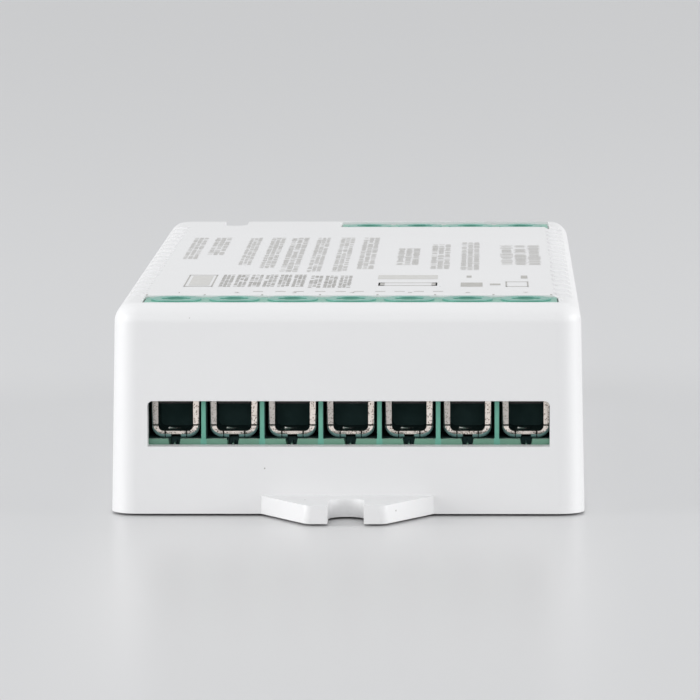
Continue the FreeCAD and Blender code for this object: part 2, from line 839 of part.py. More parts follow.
def pieces():
    """All pieces of the controller by name."""
    out = {"top_cover": top_cover(), "base_plate": base_plate(), "circuit_board": circuit_board()}
    out["front_terminal_housing"] = terminal_housing(front_xs)
    mirrored = [-x for x in reversed(rear_xs)]
    out["rear_terminal_housing"] = turned(terminal_housing(mirrored))
    for i, x in enumerate(front_xs):
        out[f"front_screw_{i + 1}"] = screw(x)
        out[f"front_cage_{i + 1}"] = cage(x)
    for i, x in enumerate(rear_xs):
        out[f"rear_screw_{i + 1}"] = turned(screw(-x))
        out[f"rear_cage_{i + 1}"] = turned(cage(-x))
    out["front_contact_bars"] = one([contact_bar(x) for x in front_xs])
    out["rear_contact_bars"] = one([turned(contact_bar(-x)) for x in rear_xs])
    out["mosfet_bodies"], out["mosfet_metal"] = mosfets()
    rear = block_back
    out["driver_chip"], driver_legs = small_outline_chip(0, -rear + driver_back, 14, driver_length)
    out["regulator_chip"], regulator_legs = small_outline_chip(
        regulator_x, rear - regulator_back, 8, regulator_length)
    out["chip_leads"] = one(driver_legs + regulator_legs)
    out["input_capacitor"], foot_a = can_capacitor(
        input_can_x, rear - input_can_back, input_can_radius, input_can_height)
    out["output_capacitor"], foot_b = can_capacitor(
        output_can_x, rear - inductor_back, output_can_radius, output_can_height)
    out["capacitor_feet"] = one([foot_a, foot_b])
    out["power_inductor"] = power_inductor(inductor_x, rear - inductor_back)
    out["rectifier_diode"] = moulded_body(
        diode_x, rear - diode_back, diode_length, diode_width, board_top, diode_height)
    out["input_fuse"] = moulded_body(
        fuse_x, rear - fuse_back, fuse_length, fuse_width, board_top, fuse_height)
    module = wireless_module(module_x, rear - module_back)
    out["wireless_board"], out["wireless_shield"], out["radio_chip"] = module
    ceramics, resistors = small_chips()
    out["ceramic_capacitors"] = one(ceramics)
    out["chip_resistors"] = one(resistors)
    out["status_led"] = moulded_body(
        button_x + light_offset, button_y, light_length, light_width, board_top, light_height)
    names = ("switch_body", "switch_lid", "switch_dome", "switch_plunger")
    out.update(zip(names, switch_parts()))
    out["pairing_button"] = pairing_button()
    return out


os.makedirs("parts", exist_ok=True)
for name, shape in pieces().items():
    shape.exportStep(f"parts/{name}.step")
    print(name, len(shape.Solids), round(shape.Volume, 2), "valid" if shape.isValid() else "NOT VALID")
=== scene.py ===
"""A white LED controller with green clamp terminals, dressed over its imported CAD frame.

Every length in a dataclass is in millimetres unless its name ends in _m. Meshes are made in metres.
"""

import json
import logging
import math
from contextlib import contextmanager
from dataclasses import dataclass
from enum import Enum
from typing import Any, Callable, Iterable, Iterator, Sequence

import bmesh
import bpy
from bpy.types import Material, Mesh, Node, NodeSocket, NodeTree, Object
from mathutils import Matrix, Vector

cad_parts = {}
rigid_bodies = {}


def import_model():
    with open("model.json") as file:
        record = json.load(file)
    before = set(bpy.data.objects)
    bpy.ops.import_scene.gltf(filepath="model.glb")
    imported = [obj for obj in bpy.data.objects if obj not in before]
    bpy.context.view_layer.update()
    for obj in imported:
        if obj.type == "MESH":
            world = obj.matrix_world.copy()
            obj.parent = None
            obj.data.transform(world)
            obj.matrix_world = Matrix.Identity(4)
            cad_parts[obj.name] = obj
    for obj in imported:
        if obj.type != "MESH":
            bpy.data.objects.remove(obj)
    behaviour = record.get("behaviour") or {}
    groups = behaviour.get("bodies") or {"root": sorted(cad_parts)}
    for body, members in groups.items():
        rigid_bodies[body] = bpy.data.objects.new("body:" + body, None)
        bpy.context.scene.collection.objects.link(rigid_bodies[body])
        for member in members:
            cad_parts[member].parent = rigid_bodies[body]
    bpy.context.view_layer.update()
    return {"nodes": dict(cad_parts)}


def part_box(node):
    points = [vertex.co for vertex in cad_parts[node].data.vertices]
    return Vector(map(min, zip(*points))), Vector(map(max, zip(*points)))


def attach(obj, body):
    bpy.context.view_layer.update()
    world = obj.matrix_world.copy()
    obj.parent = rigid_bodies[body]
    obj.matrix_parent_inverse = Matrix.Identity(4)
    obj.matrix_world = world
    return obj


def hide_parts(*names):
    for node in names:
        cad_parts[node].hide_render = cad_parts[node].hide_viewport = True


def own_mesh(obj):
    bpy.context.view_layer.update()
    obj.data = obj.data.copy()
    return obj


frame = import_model()

log = logging.getLogger("led_controller")
MM = 0.001
WELD_M = 2e-6
FLAT_DEGREES = 0.05
EDGE_DEGREES = 38.0
LARGE_FACE_WEIGHT = 80
TOUCH = 0.0005
SCREW_LINE = 36.412
Colour = tuple[float, float, float]
Box = Sequence[float]
Values = dict[Any, Any] | None


# Node trees and meshes

class Wiring:
    """Adds nodes to one node tree and joins them."""

    def __init__(self, tree: NodeTree) -> None:
        """Keep the shader or Geometry Nodes tree that gets the nodes."""
        self.tree = tree

    def add(self, kind: str, values: Values = None, **props: Any) -> Node:
        """Add one node.

        Args:
            kind: The node's type name.
            values: Input name or number against a constant or another node's output.
            props: Settings of the node itself, made before its inputs are filled.

        Returns:
            The new node.
        """
        node = self.tree.nodes.new(kind)
        for key, value in props.items():
            setattr(node, key, value)
        for key, value in (values or {}).items():
            if isinstance(value, NodeSocket):
                self.tree.links.new(value, node.inputs[key])
            else:
                node.inputs[key].default_value = value
        return node

    def put(self, kind: str, values: Values = None, **props: Any) -> NodeSocket:
        """Add one node and return its first output."""
        return self.add(kind, values, **props).outputs[0]

    def math(self, operation: str, *values: Any) -> NodeSocket:
        """Add a Math node with its inputs in order and return its output."""
        return self.put("ShaderNodeMath", dict(enumerate(values)), operation=operation)

    def vector(self, *parts: Any) -> NodeSocket:
        """Join up to three numbers into a vector; those left out are 0."""
        return self.put("ShaderNodeCombineXYZ", dict(enumerate(parts)))

    def split(self, place: NodeSocket) -> Sequence[NodeSocket]:
        """Return the X, Y and Z of a position."""
        return tuple(self.add("ShaderNodeSeparateXYZ", {0: place}).outputs)

    def mask(self, name: str) -> NodeSocket:
        """Read one of the piece's own attributes as a number."""
        return self.add("ShaderNodeAttribute", attribute_name=name).outputs["Fac"]

    def mix(self, share: NodeSocket, colour: NodeSocket, tone: Any) -> NodeSocket:
        """Blend a colour towards a tone, which is three numbers or a socket."""
        tone = (*tone, 1.0) if isinstance(tone, tuple) else tone
        return self.add("ShaderNodeMix", {0: share, 6: colour, 7: tone}, data_type="RGBA").outputs[2]

    def span(self, value: NodeSocket, start: Any, end: Any, low: float = 0.0, high: float = 1.0,
             **props: Any) -> NodeSocket:
        """Map a value from start to end onto the range from low to high."""
        return self.put("ShaderNodeMapRange", {
            "Value": value, "From Min": start, "From Max": end, "To Min": low, "To Max": high}, **props)


class ShapeTree(Wiring):
    """A Geometry Nodes tree with named inputs, ending in Realize Instances and Set Material."""

    KINDS = {float: "NodeSocketFloat", int: "NodeSocketInt", tuple: "NodeSocketVector"}

    def __init__(self, name: str, sizes: dict[str, Any]) -> None:
        """Start a tree.

        Args:
            name: The tree's name.
            sizes: Input name against its first value, whose type decides the socket.
        """
        super().__init__(bpy.data.node_groups.new(name, "GeometryNodeTree"))
        face = self.tree.interface
        face.new_socket("Geometry", in_out="INPUT", socket_type="NodeSocketGeometry")
        face.new_socket("Geometry", in_out="OUTPUT", socket_type="NodeSocketGeometry")
        self.ids: dict[str, str] = {}
        for key, value in sizes.items():
            socket = face.new_socket(key, in_out="INPUT", socket_type=self.KINDS[type(value)])
            socket.default_value = value
            self.ids[key] = socket.identifier
        socket = face.new_socket("Material", in_out="INPUT", socket_type="NodeSocketMaterial")
        self.ids["Material"] = socket.identifier
        self.given = self.add("NodeGroupInput").outputs

    def geo(self, kind: str, values: Values = None, **props: Any) -> NodeSocket:
        """Add a Geometry node, named without its prefix, and return its first output."""
        return self.put(f"GeometryNode{kind}", values, **props)

    def join(self, *parts: NodeSocket) -> NodeSocket:
        """Join several shapes into one.

        Args:
            parts: The shapes' sockets, in their order.

        Returns:
            The socket of the whole.
        """
        both = self.add("GeometryNodeJoinGeometry")
        for part in parts:
            self.tree.links.new(part, both.inputs[0])
        return both.outputs[0]

    def end(self, geometry: NodeSocket) -> "ShapeTree":
        """Close the tree.

        Args:
            geometry: The socket that carries the finished shape.

        Returns:
            The tree itself.
        """
        real = self.geo("RealizeInstances", {"Geometry": geometry})
        dressed = self.geo("SetMaterial", {"Geometry": real, "Material": self.given["Material"]})
        self.add("NodeGroupOutput", {0: dressed})
        return self

    def grow(self, name: str, material: Material, sizes: dict[str, Any],
             start: Mesh | None = None) -> Object:
        """Run the tree once and keep its result as a plain mesh.

        Args:
            name: Name of the new object.
            material: Finish of the whole shape.
            sizes: Inputs that differ from the tree's first values.
            start: Mesh that the tree works on, if it needs one.

        Returns:
            An object at the origin with no modifier.
        """
        obj = placed(name, start or bpy.data.meshes.new(name))
        modifier = obj.modifiers.new("shape", "NODES")
        modifier.node_group = self.tree
        for key, value in {**sizes, "Material": material}.items():
            modifier[self.ids[key]] = value
        settle(obj)
        return obj


def emptied(owner: Any) -> Wiring:
    """Start a shader tree afresh.

    Args:
        owner: The material or world whose tree it is.

    Returns:
        The wiring of the empty tree.
    """
    owner.use_nodes = True
    owner.node_tree.nodes.clear()
    return Wiring(owner.node_tree)


def placed(name: str, data: Any) -> Object:
    """Put something into the scene.

    Args:
        name: Name of the new object.
        data: Its mesh, text, light or camera.

    Returns:
        The object, at the origin.
    """
    obj = bpy.data.objects.new(name, data)
    bpy.context.scene.collection.objects.link(obj)
    return obj


def settle(obj: Object) -> None:
    """Turn live modifiers into the mesh and remove them.

    Args:
        obj: The object that has them.
    """
    bpy.context.view_layer.update()
    graph = bpy.context.evaluated_depsgraph_get()
    mesh = bpy.data.meshes.new_from_object(obj.evaluated_get(graph), depsgraph=graph)
    obj.modifiers.clear()
    obj.data = mesh
    mesh.name = obj.name


@contextmanager
def reshaped(mesh: Mesh) -> Iterator[bmesh.types.BMesh]:
    """Open a mesh for changes and write them back at the end.

    Args:
        mesh: The mesh.

    Returns:
        Its shape, to be changed.
    """
    shape = bmesh.new()
    shape.from_mesh(mesh)
    yield shape
    shape.to_mesh(mesh)
    shape.free()


def smooth(obj: Object, angle: float = 32.0) -> None:
    """Shade an object smooth, with flat faces left flat and edges above the angle kept sharp.

    Args:
        obj: The object.
        angle: Angle between two faces in degrees.
    """
    obj.data.polygons.foreach_set("use_smooth", [True] * len(obj.data.polygons))
    obj.data.set_sharp_from_angle(angle=math.radians(angle))
    weigh = obj.modifiers.new("flat faces", "WEIGHTED_NORMAL")
    weigh.keep_sharp = True
    weigh.weight = LARGE_FACE_WEIGHT
    settle(obj)


def merged_copy(node: str, name: str, top: float = 99.0, sink: float = 0.0) -> Object:
    """Copy a CAD node's mesh, weld it and join its flat facets.

    Args:
        node: The CAD node.
        name: Name of the copy.
        top: Height in millimetres of a face that is lowered a little.
        sink: How far it is lowered, in millimetres.

    Returns:
        The copy at the origin.
    """
    mesh = frame["nodes"][node].data.copy()
    with reshaped(mesh) as shape:
        bmesh.ops.remove_doubles(shape, verts=shape.verts, dist=WELD_M)
        for vertex in shape.verts:
            if vertex.co.z > (top - TOUCH) * MM:
                vertex.co.z -= sink * MM
        bmesh.ops.dissolve_limit(shape, angle_limit=math.radians(FLAT_DEGREES), verts=shape.verts,
                                 edges=shape.edges)
    for layer in [a for a in mesh.attributes if a.name in ("custom_normal", "sharp_face")]:
        mesh.attributes.remove(layer)
    return placed(name, mesh)


def soften(obj: Object, width: float) -> None:
    """Round an object's sharp edges.

    Args:
        obj: The object.
        width: Width of the rounding in millimetres.
    """
    bevel = obj.modifiers.new("edges", "BEVEL")
    bevel.width = width * MM
    bevel.segments = 2
    bevel.limit_method = "ANGLE"
    bevel.angle_limit = math.radians(EDGE_DEGREES)
    bevel.use_clamp_overlap = False
    bevel.miter_outer = "MITER_SHARP"
    settle(obj)


def dress(obj: Object, material: Material) -> None:
    """Give an object one material in every slot."""
    obj.data.materials.clear()
    obj.data.materials.append(material)


def stand_for(obj: Object, body: str, slot: str, *nodes: str) -> None:
    """Hand a finished piece to the frame.

    Args:
        obj: The piece.
        body: The CAD body it moves with.
        slot: The record's material slot it is finished from; not used.
        nodes: CAD nodes that it replaces.
    """
    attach(obj, body)
    if nodes:
        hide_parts(*nodes)
    log.info("%s rides on %s: %d faces", obj.name, body, len(obj.data.polygons))


def flat(name: str, boxes: Iterable[Box], height: float) -> Object:
    """Make level rectangles that face up.

    Args:
        name: Name of the new object.
        boxes: Left, right, front and rear of each, in millimetres.
        height: Their height in millimetres.

    Returns:
        One object at the origin.
    """
    points = [(x * MM, y * MM, height * MM) for x0, x1, y0, y1 in boxes
              for x, y in ((x0, y0), (x1, y0), (x1, y1), (x0, y1))]
    mesh = bpy.data.meshes.new(name)
    mesh.from_pydata(points, [], [(n, n + 1, n + 2, n + 3) for n in range(0, len(points), 4)])
    return placed(name, mesh)


def joined(name: str, parts: Sequence[Object]) -> Object:
    """Join several mesh objects, which are removed.

    Args:
        name: Name of the new object.
        parts: The objects.

    Returns:
        One object with one material list.
    """
    materials = []
    mesh = bpy.data.meshes.new(name)
    with reshaped(mesh) as shape:
        for part in parts:
            first = len(shape.faces)
            shape.from_mesh(part.data)
            shape.faces.ensure_lookup_table()
            for face in shape.faces[first:]:
                own = part.data.materials[face.material_index]
                if own not in materials:
                    materials.append(own)
                face.material_index = materials.index(own)
    for material in materials:
        mesh.materials.append(material)
    for part in parts:
        bpy.data.objects.remove(part)
    return placed(name, mesh)


# Effects that several finishes share

def effect(name: str, given: dict[str, Any], build: Callable[[Wiring, Any], dict[str, Any]]) -> NodeTree:
    """Make one shader node group.

    Args:
        name: The group's name.
        given: Input name against its first value; a colour has four numbers.
        build: Function that wires the group and returns each output's source; Color is a colour.

    Returns:
        The node group.
    """
    kinds = {True: "NodeSocketColor", False: "NodeSocketFloat"}
    tree = bpy.data.node_groups.new(name, "ShaderNodeTree")
    tree.interface.new_socket("Vector", in_out="INPUT", socket_type="NodeSocketVector")
    for key, value in given.items():
        kind = kinds[isinstance(value, tuple)]
        tree.interface.new_socket(key, in_out="INPUT", socket_type=kind).default_value = value
    wires = Wiring(tree)
    results = build(wires, wires.add("NodeGroupInput").outputs)
    for key in results:
        tree.interface.new_socket(key, in_out="OUTPUT", socket_type=kinds[key == "Color"])
    wires.add("NodeGroupOutput", results)
    return tree


def build_grain(wires: Wiring, given: Any) -> dict[str, Any]:
    """Wire the fine spark-eroded grain of a mould.

    Args:
        wires: The group's wiring.
        given: The group's inputs.

    Returns:
        Each output's source.
    """
    fine = wires.put("ShaderNodeTexNoise", {
        "Vector": given["Vector"], "Scale": given["Scale"], "Detail": 3.0, "Roughness": 0.55})
    wide = wires.math("MULTIPLY", given["Scale"], 0.45)
    coarse = wires.put("ShaderNodeTexVoronoi", {"Vector": given["Vector"], "Scale": wide})
    return {"Height": wires.math("ADD", fine, wires.math("MULTIPLY", coarse, 0.5)), "Tone": fine}


def build_mottle(wires: Wiring, given: Any) -> dict[str, Any]:
    """Wire a slow drift between two tones.

    Args:
        wires: The group's wiring.
        given: The group's inputs.

    Returns:
        The output's source.
    """
    drift = wires.put("ShaderNodeTexNoise", {
        "Vector": given["Vector"], "Scale": given["Scale"], "Detail": 4.0, "Roughness": 0.6})
    return {"Color": wires.mix(wires.span(drift, 0.35, 0.65), given["Light"], given["Dark"])}


def build_specks(wires: Wiring, given: Any) -> dict[str, Any]:
    """Wire small round marks, one in some of the cells of a cell pattern.

    Args:
        wires: The group's wiring.
        given: The group's inputs.

    Returns:
        The output's source.
    """
    cells = wires.add("ShaderNodeTexVoronoi", {"Vector": given["Vector"], "Scale": given["Scale"]})
    pick = wires.add("ShaderNodeSeparateColor", {0: cells.outputs["Color"]})
    chosen = wires.math("LESS_THAN", pick.outputs[0], given["Amount"])
    reach = wires.math("MULTIPLY", pick.outputs[1], given["Size"])
    near = wires.math("LESS_THAN", cells.outputs["Distance"], reach)
    return {"Mask": wires.math("MULTIPLY", chosen, near)}


MID_GREY = (0.5, 0.5, 0.5, 1.0)
GRAIN = effect("mould_grain", {"Scale": 9000.0}, build_grain)
MOTTLE = effect("slow_mottle", {"Scale": 60.0, "Light": MID_GREY, "Dark": MID_GREY}, build_mottle)
SPECKS = effect("small_specks", {"Scale": 900.0, "Amount": 0.1, "Size": 0.3}, build_specks)


# Finishes

@dataclass(frozen=True)
class Finish:
    """A procedural surface: two near tones, specks, grain and a plain Principled base.

    Grain depth is in millimetres; scales are in cells per metre.
    """

    name: str
    light: Colour
    dark: Colour
    roughness: float = 0.5
    roughness_drift: float = 0.05
    metallic: float = 0.0
    mottle_scale: float = 70.0
    grain_scale: float = 9000.0
    grain_depth: float = 0.004
    speck_scale: float = 700.0
    speck_amount: float = 0.0
    speck_size: float = 0.3
    speck_colour: Colour = (0.1, 0.09, 0.08)
    ior: float = 1.5
    coat: float = 0.0

    def material(self) -> Material:
        """Build the finish's material.

        Returns:
            The new material.
        """
        material = bpy.data.materials.new(self.name)
        wires = emptied(material)
        place = wires.add("ShaderNodeTexCoord").outputs["Object"]

        def group(tree: NodeTree, **values: Any) -> Any:
            """Place a shared effect with its own values and return its outputs."""
            return wires.add("ShaderNodeGroup", {"Vector": place, **values}, node_tree=tree).outputs

        mottle = group(MOTTLE, Scale=self.mottle_scale, Light=(*self.light, 1.0), Dark=(*self.dark, 1.0))
        grain = group(GRAIN, Scale=self.grain_scale)
        specks = group(SPECKS, Scale=self.speck_scale, Amount=self.speck_amount, Size=self.speck_size)
        colour = wires.mix(specks["Mask"], mottle["Color"], self.speck_colour)
        rough, drift = self.roughness, self.roughness_drift
        bump = wires.put("ShaderNodeBump", {
            "Strength": 1.0, "Distance": self.grain_depth * MM, "Height": grain["Height"]})
        shader = wires.put("ShaderNodeBsdfPrincipled", {
            "Base Color": self.tinted(wires, place, colour), "Normal": bump,
            "Roughness": wires.span(grain["Tone"], 0.3, 0.7, rough - drift, rough + drift),
            "Metallic": self.metal(wires), "IOR": self.ior, "Coat Weight": self.coat})
        wires.add("ShaderNodeOutputMaterial", {"Surface": shader})
        return material

    def tinted(self, wires: Wiring, place: NodeSocket, colour: NodeSocket) -> NodeSocket:
        """Return the base colour; a finish with more detail adds it here.

        Args:
            wires: The material's wiring.
            place: The position on the piece.
            colour: The mottled and specked colour.

        Returns:
            The colour that the shader gets.
        """
        return colour

    def metal(self, wires: Wiring) -> Any:
        """Return how metallic the surface is, as a number or a mask."""
        return self.metallic


@dataclass(frozen=True)
class BlockFinish(Finish):
    """Green moulding with painted shade deep in its chambers and on its sill between the dividers."""

    shade_start: float = 38.6
    shade_end: float = 36.6
    shade: Colour = (0.004, 0.014, 0.012)
    top: float = 16.4
    # Painted shade on the sill floor between the dividers.
    sill: Colour = (0.17, 0.22, 0.14)
    sill_top: float = 6.34
    sill_amount: float = 0.45
    divider_x: float = 2.74
    divider_half: float = 0.26
    pitch: float = 5.08

    def tinted(self, wires: Wiring, place: NodeSocket, colour: NodeSocket) -> NodeSocket:
        """Paint shade inwards from each chamber's mouth, below the screw wells, and on the sill.

        Args:
            wires: The material's wiring.
            place: The position on the piece.
            colour: The colour without it.

        Returns:
            The colour with its painted shade.
        """
        x, y, z = wires.split(place)
        # Painted shade: darker from the mouth of a chamber inwards, below the top.
        deep = wires.span(wires.math("ABSOLUTE", y), self.shade_start * MM, self.shade_end * MM)
        shaded = wires.math("MULTIPLY", deep, wires.math("LESS_THAN", z, self.top * MM))
        # Painted shade on the sill: the open floor between the dividers, below the sill top.
        across = wires.math("SUBTRACT", x, self.divider_x * MM)
        away = wires.math("PINGPONG", across, self.pitch / 2 * MM)
        open_floor = wires.math("GREATER_THAN", away, self.divider_half * MM)
        under = wires.math("LESS_THAN", z, self.sill_top * MM)
        sill_shaded = wires.math("MULTIPLY", wires.math("MULTIPLY", under, open_floor), self.sill_amount)
        return wires.mix(shaded, wires.mix(sill_shaded, colour, self.sill), self.shade)


@dataclass(frozen=True)
class StripFinish(Finish):
    """Tinned strip with painted shade in the creases where it is bent and inside, and a painted teal
    reflection on its rolled edge.
    """

    # Zone tones, in order: one leg drawn darker; painted shade inside; a painted teal reflection of the
    # green plastic on the rolled edge; painted shade in the creases; a painted glint on the ridge.
    darker_leg: Colour = (0.33, 0.32, 0.31)
    inside: Colour = (0.02, 0.022, 0.02)
    rolled: Colour = (0.42, 0.72, 0.68)
    crease: Colour = (0.05, 0.045, 0.04)
    painted_glint: Colour = (0.78, 0.78, 0.75)

    def tinted(self, wires: Wiring, place: NodeSocket, colour: NodeSocket) -> NodeSocket:
        """Draw each zone from the strip's own attribute of that name.

        Args:
            wires: The material's wiring.
            place: The position on the piece.
            colour: The colour without it.

        Returns:
            The colour with every zone.
        """
        for zone in ("darker_leg", "inside", "rolled", "crease", "painted_glint"):
            colour = wires.mix(wires.mask(zone), colour, getattr(self, zone))
        return colour

    def metal(self, wires: Wiring) -> Any:
        """Leave the rolled edge and the inside without a metal's mirror."""
        dull = wires.math("MAXIMUM", wires.mask("rolled"), wires.mask("inside"))
        return wires.math("MULTIPLY", wires.math("SUBTRACT", 1.0, dull), self.metallic)


@dataclass(frozen=True)
class LaminateFinish(Finish):
    """Green solder resist over copper tracks."""

    track: Colour = (0.07, 0.33, 0.17)
    track_scale: float = 420.0
    track_edge: float = 0.42

    def tinted(self, wires: Wiring, place: NodeSocket, colour: NodeSocket) -> NodeSocket:
        """Lighten the resist along a maze of tracks.

        Args:
            wires: The material's wiring.
            place: The position on the piece.
            colour: The colour without it.

        Returns:
            The colour with the tracks.
        """
        cells = wires.put("ShaderNodeTexVoronoi", {"Vector": place, "Scale": self.track_scale},
                          distance="CHEBYCHEV")
        return wires.mix(wires.math("GREATER_THAN", cells, self.track_edge), colour, self.track)


@dataclass(frozen=True)
class TableFinish(Finish):
    """Pale table top with a painted pool of light in the strip before and behind the case."""

    # Painted light: a lighter pool on the table round the case that makes up for the case's shadow on it.
    light_pool: Colour = (0.67, 0.668, 0.672)
    inner: float = 14.0
    outer: float = 26.0
    near: float = 70.0
    far: float = 170.0

    def tinted(self, wires: Wiring, place: NodeSocket, colour: NodeSocket) -> NodeSocket:
        """Fade the painted pool of light out to each side and with distance.

        Args:
            wires: The material's wiring.
            place: The position on the piece.
            colour: The colour without it.

        Returns:
            The colour with the painted pool of light.
        """
        x, y, _ = wires.split(place)
        across, along = (
            wires.span(wires.math("ABSOLUTE", way), start * MM, end * MM, interpolation_type="SMOOTHSTEP")
            for way, start, end in ((x, self.outer, self.inner), (y, self.far, self.near)))
        return wires.mix(wires.math("MULTIPLY", across, along), colour, self.light_pool)


def grey(level: float) -> Colour:
    """Return a neutral grey."""
    return (level, level, level)


WHITE = Finish(
    "white_moulding", (0.80, 0.80, 0.805), (0.785, 0.785, 0.79), roughness=0.42, grain_scale=7000.0,
    grain_depth=0.003, speck_scale=1400.0, speck_amount=0.006, speck_size=0.16,
    speck_colour=(0.42, 0.41, 0.40), mottle_scale=45.0)
BASE_WHITE = Finish(
    "white_base_moulding", (0.81, 0.81, 0.815), grey(0.79), roughness=0.38, grain_scale=7500.0,
    grain_depth=0.003, speck_scale=1400.0, speck_amount=0.005, speck_size=0.15,
    speck_colour=(0.45, 0.44, 0.42), mottle_scale=45.0)
GREEN = BlockFinish(
    "green_terminal_moulding", (0.160, 0.465, 0.350), (0.128, 0.395, 0.302), roughness=0.34,
    grain_scale=5200.0, mottle_scale=420.0, speck_scale=2600.0, speck_amount=0.05,
    speck_colour=(0.42, 0.62, 0.56))
# A darker, rougher copy of the green whose tone is painted shade, for the chambers behind the mouths.
CHAMBER_SHADE = Finish(
    "chamber_painted_shade", (0.070, 0.130, 0.128), (0.050, 0.100, 0.098), roughness=0.9,
    grain_scale=5200.0, mottle_scale=420.0, ior=1.12)
GREEN_COLLAR = Finish(
    "green_collar_moulding", (0.150, 0.400, 0.330), (0.120, 0.345, 0.285), roughness=0.36,
    grain_scale=5200.0, mottle_scale=300.0)
TIN = StripFinish(
    "tinned_strip", (0.86, 0.79, 0.735), (0.76, 0.68, 0.62), roughness=0.19, roughness_drift=0.06,
    metallic=0.92, mottle_scale=1900.0, grain_scale=7000.0, grain_depth=0.010, speck_scale=6400.0,
    speck_amount=0.6, speck_size=0.6, speck_colour=(0.16, 0.12, 0.10))
SCREW = Finish(
    "zinc_screw", (0.60, 0.60, 0.59), (0.45, 0.45, 0.44), roughness=0.3, metallic=1.0,
    mottle_scale=1500.0, grain_depth=0.005, speck_scale=4000.0, speck_amount=0.1)
INK = Finish(
    "grey_print", (0.42, 0.41, 0.39), (0.50, 0.49, 0.465), roughness=0.6, mottle_scale=2500.0,
    grain_depth=0.001)
FAINT_INK = Finish(
    "faint_grey_print", (0.59, 0.583, 0.563), (0.65, 0.643, 0.623), roughness=0.6,
    mottle_scale=2500.0, grain_depth=0.001)
BUTTON = Finish("button_moulding", grey(0.78), grey(0.74), roughness=0.4)
SPRING = Finish("spring_dome", (0.62, 0.62, 0.6), (0.5, 0.5, 0.48), roughness=0.2, metallic=1.0)
FLOOR = TableFinish(
    "pale_table", (0.595, 0.598, 0.607), (0.59, 0.593, 0.602), roughness=0.29, roughness_drift=0.0,
    mottle_scale=3.0, grain_scale=300.0, grain_depth=0.0)

# Nodes that keep their CAD shape, in groups that share a finish
CARRIED = {
    "circuit_board wireless_board": LaminateFinish(
        "board_resist", (0.03, 0.19, 0.09), (0.025, 0.16, 0.075), roughness=0.3, coat=0.3),
    # The contact bars are drawn near black: painted shade for their place in the dark chambers.
    "front_contact_bars rear_contact_bars": Finish(
        "shade_darkened_brass", (0.075, 0.055, 0.060), (0.045, 0.035, 0.040), metallic=0.3,
        mottle_scale=1500.0, grain_depth=0.006, speck_scale=3000.0, speck_amount=0.15),
    "mosfet_bodies": Finish(
        "transistor_epoxy", (0.03, 0.03, 0.032), (0.022, 0.022, 0.024), roughness=0.55,
        grain_scale=15000.0, grain_depth=0.006),
    "mosfet_metal": Finish(
        "tinned_copper", (0.72, 0.71, 0.68), (0.6, 0.58, 0.55), roughness=0.35, metallic=1.0,
        mottle_scale=900.0),
    "driver_chip regulator_chip switch_body": Finish(
        "chip_epoxy", (0.028, 0.028, 0.03), (0.02, 0.02, 0.022), grain_scale=16000.0, grain_depth=0.005),
    "chip_leads": Finish("lead_tin", (0.74, 0.73, 0.71), (0.62, 0.61, 0.6), roughness=0.3, metallic=1.0),
    "input_capacitor output_capacitor": Finish(
        "can_aluminium", (0.78, 0.79, 0.80), (0.7, 0.71, 0.72), roughness=0.3, metallic=1.0,
        grain_scale=4000.0),
    "capacitor_feet": Finish("foot_moulding", grey(0.05), grey(0.035), roughness=0.6),
    "power_inductor": Finish(
        "sintered_ferrite", (0.11, 0.11, 0.115), (0.08, 0.08, 0.085), roughness=0.7,
        grain_scale=5000.0, grain_depth=0.02),
    "rectifier_diode": Finish("diode_epoxy", grey(0.03), grey(0.02)),
    "input_fuse": Finish("fuse_ceramic", (0.75, 0.74, 0.68), (0.7, 0.69, 0.62), roughness=0.55),
    "wireless_shield switch_lid": Finish(
        "shield_tinplate", (0.72, 0.72, 0.71), (0.62, 0.62, 0.61), roughness=0.28, metallic=1.0,
        mottle_scale=300.0),
    "radio_chip": Finish("radio_epoxy", (0.03, 0.03, 0.032), grey(0.02), roughness=0.45),
    "ceramic_capacitors": Finish(
        "capacitor_ceramic", (0.55, 0.42, 0.28), (0.48, 0.36, 0.23), roughness=0.45, mottle_scale=800.0),
    "chip_resistors": Finish("resistor_glaze", grey(0.045), grey(0.03), roughness=0.3),
    "status_led": Finish("led_resin", (0.9, 0.88, 0.72), (0.88, 0.84, 0.6), roughness=0.2, coat=0.5),
    "switch_plunger": Finish("plunger_moulding", grey(0.05), grey(0.03)),
}


# Sub-assemblies

class Side(Enum):
    """The two terminal rows: name, direction outwards along Y and number of poles."""

    FRONT = ("front", -1, 7)
    REAR = ("rear", 1, 4)

    def __init__(self, tag: str, out: int, poles: int) -> None:
        """Keep the row's three facts."""
        self.tag, self.out, self.poles = tag, out, poles

    def centres(self) -> list[float]:
        """Return the X of each pole in millimetres, read from the frame."""
        boxes = (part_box(f"{self.tag}_cage_{i + 1}") for i in range(self.poles))
        return [(low.x + high.x) / 2 / MM for low, high in boxes]


@dataclass
class Shell:
    """The white cover and base plate, with softened edges, and the pairing button."""

    edge: float = 0.05
    base_edge: float = 0.12
    button_edge: float = 0.12
    roof: float = 18.19
    roof_sink: float = 0.02

    def build(self) -> None:
        """Build and dress the three mouldings, with the roof sunk a hair under its print."""
        highest = (self.roof - self.roof_sink) * MM
        for node, name, edge, finish, body in (
                ("top_cover", "cover", self.edge, WHITE, "case"),
                ("base_plate", "base", self.base_edge, BASE_WHITE, "case"),
                ("pairing_button", "button", self.button_edge, BUTTON, "button")):
            piece = merged_copy(node, f"{name}_moulding", self.roof, self.roof_sink)
            soften(piece, edge)
            for vertex in piece.data.vertices:
                vertex.co.z = min(vertex.co.z, highest)
            smooth(piece)
            dress(piece, finish.material())
            stand_for(piece, body, f"{name}_plastic", node)


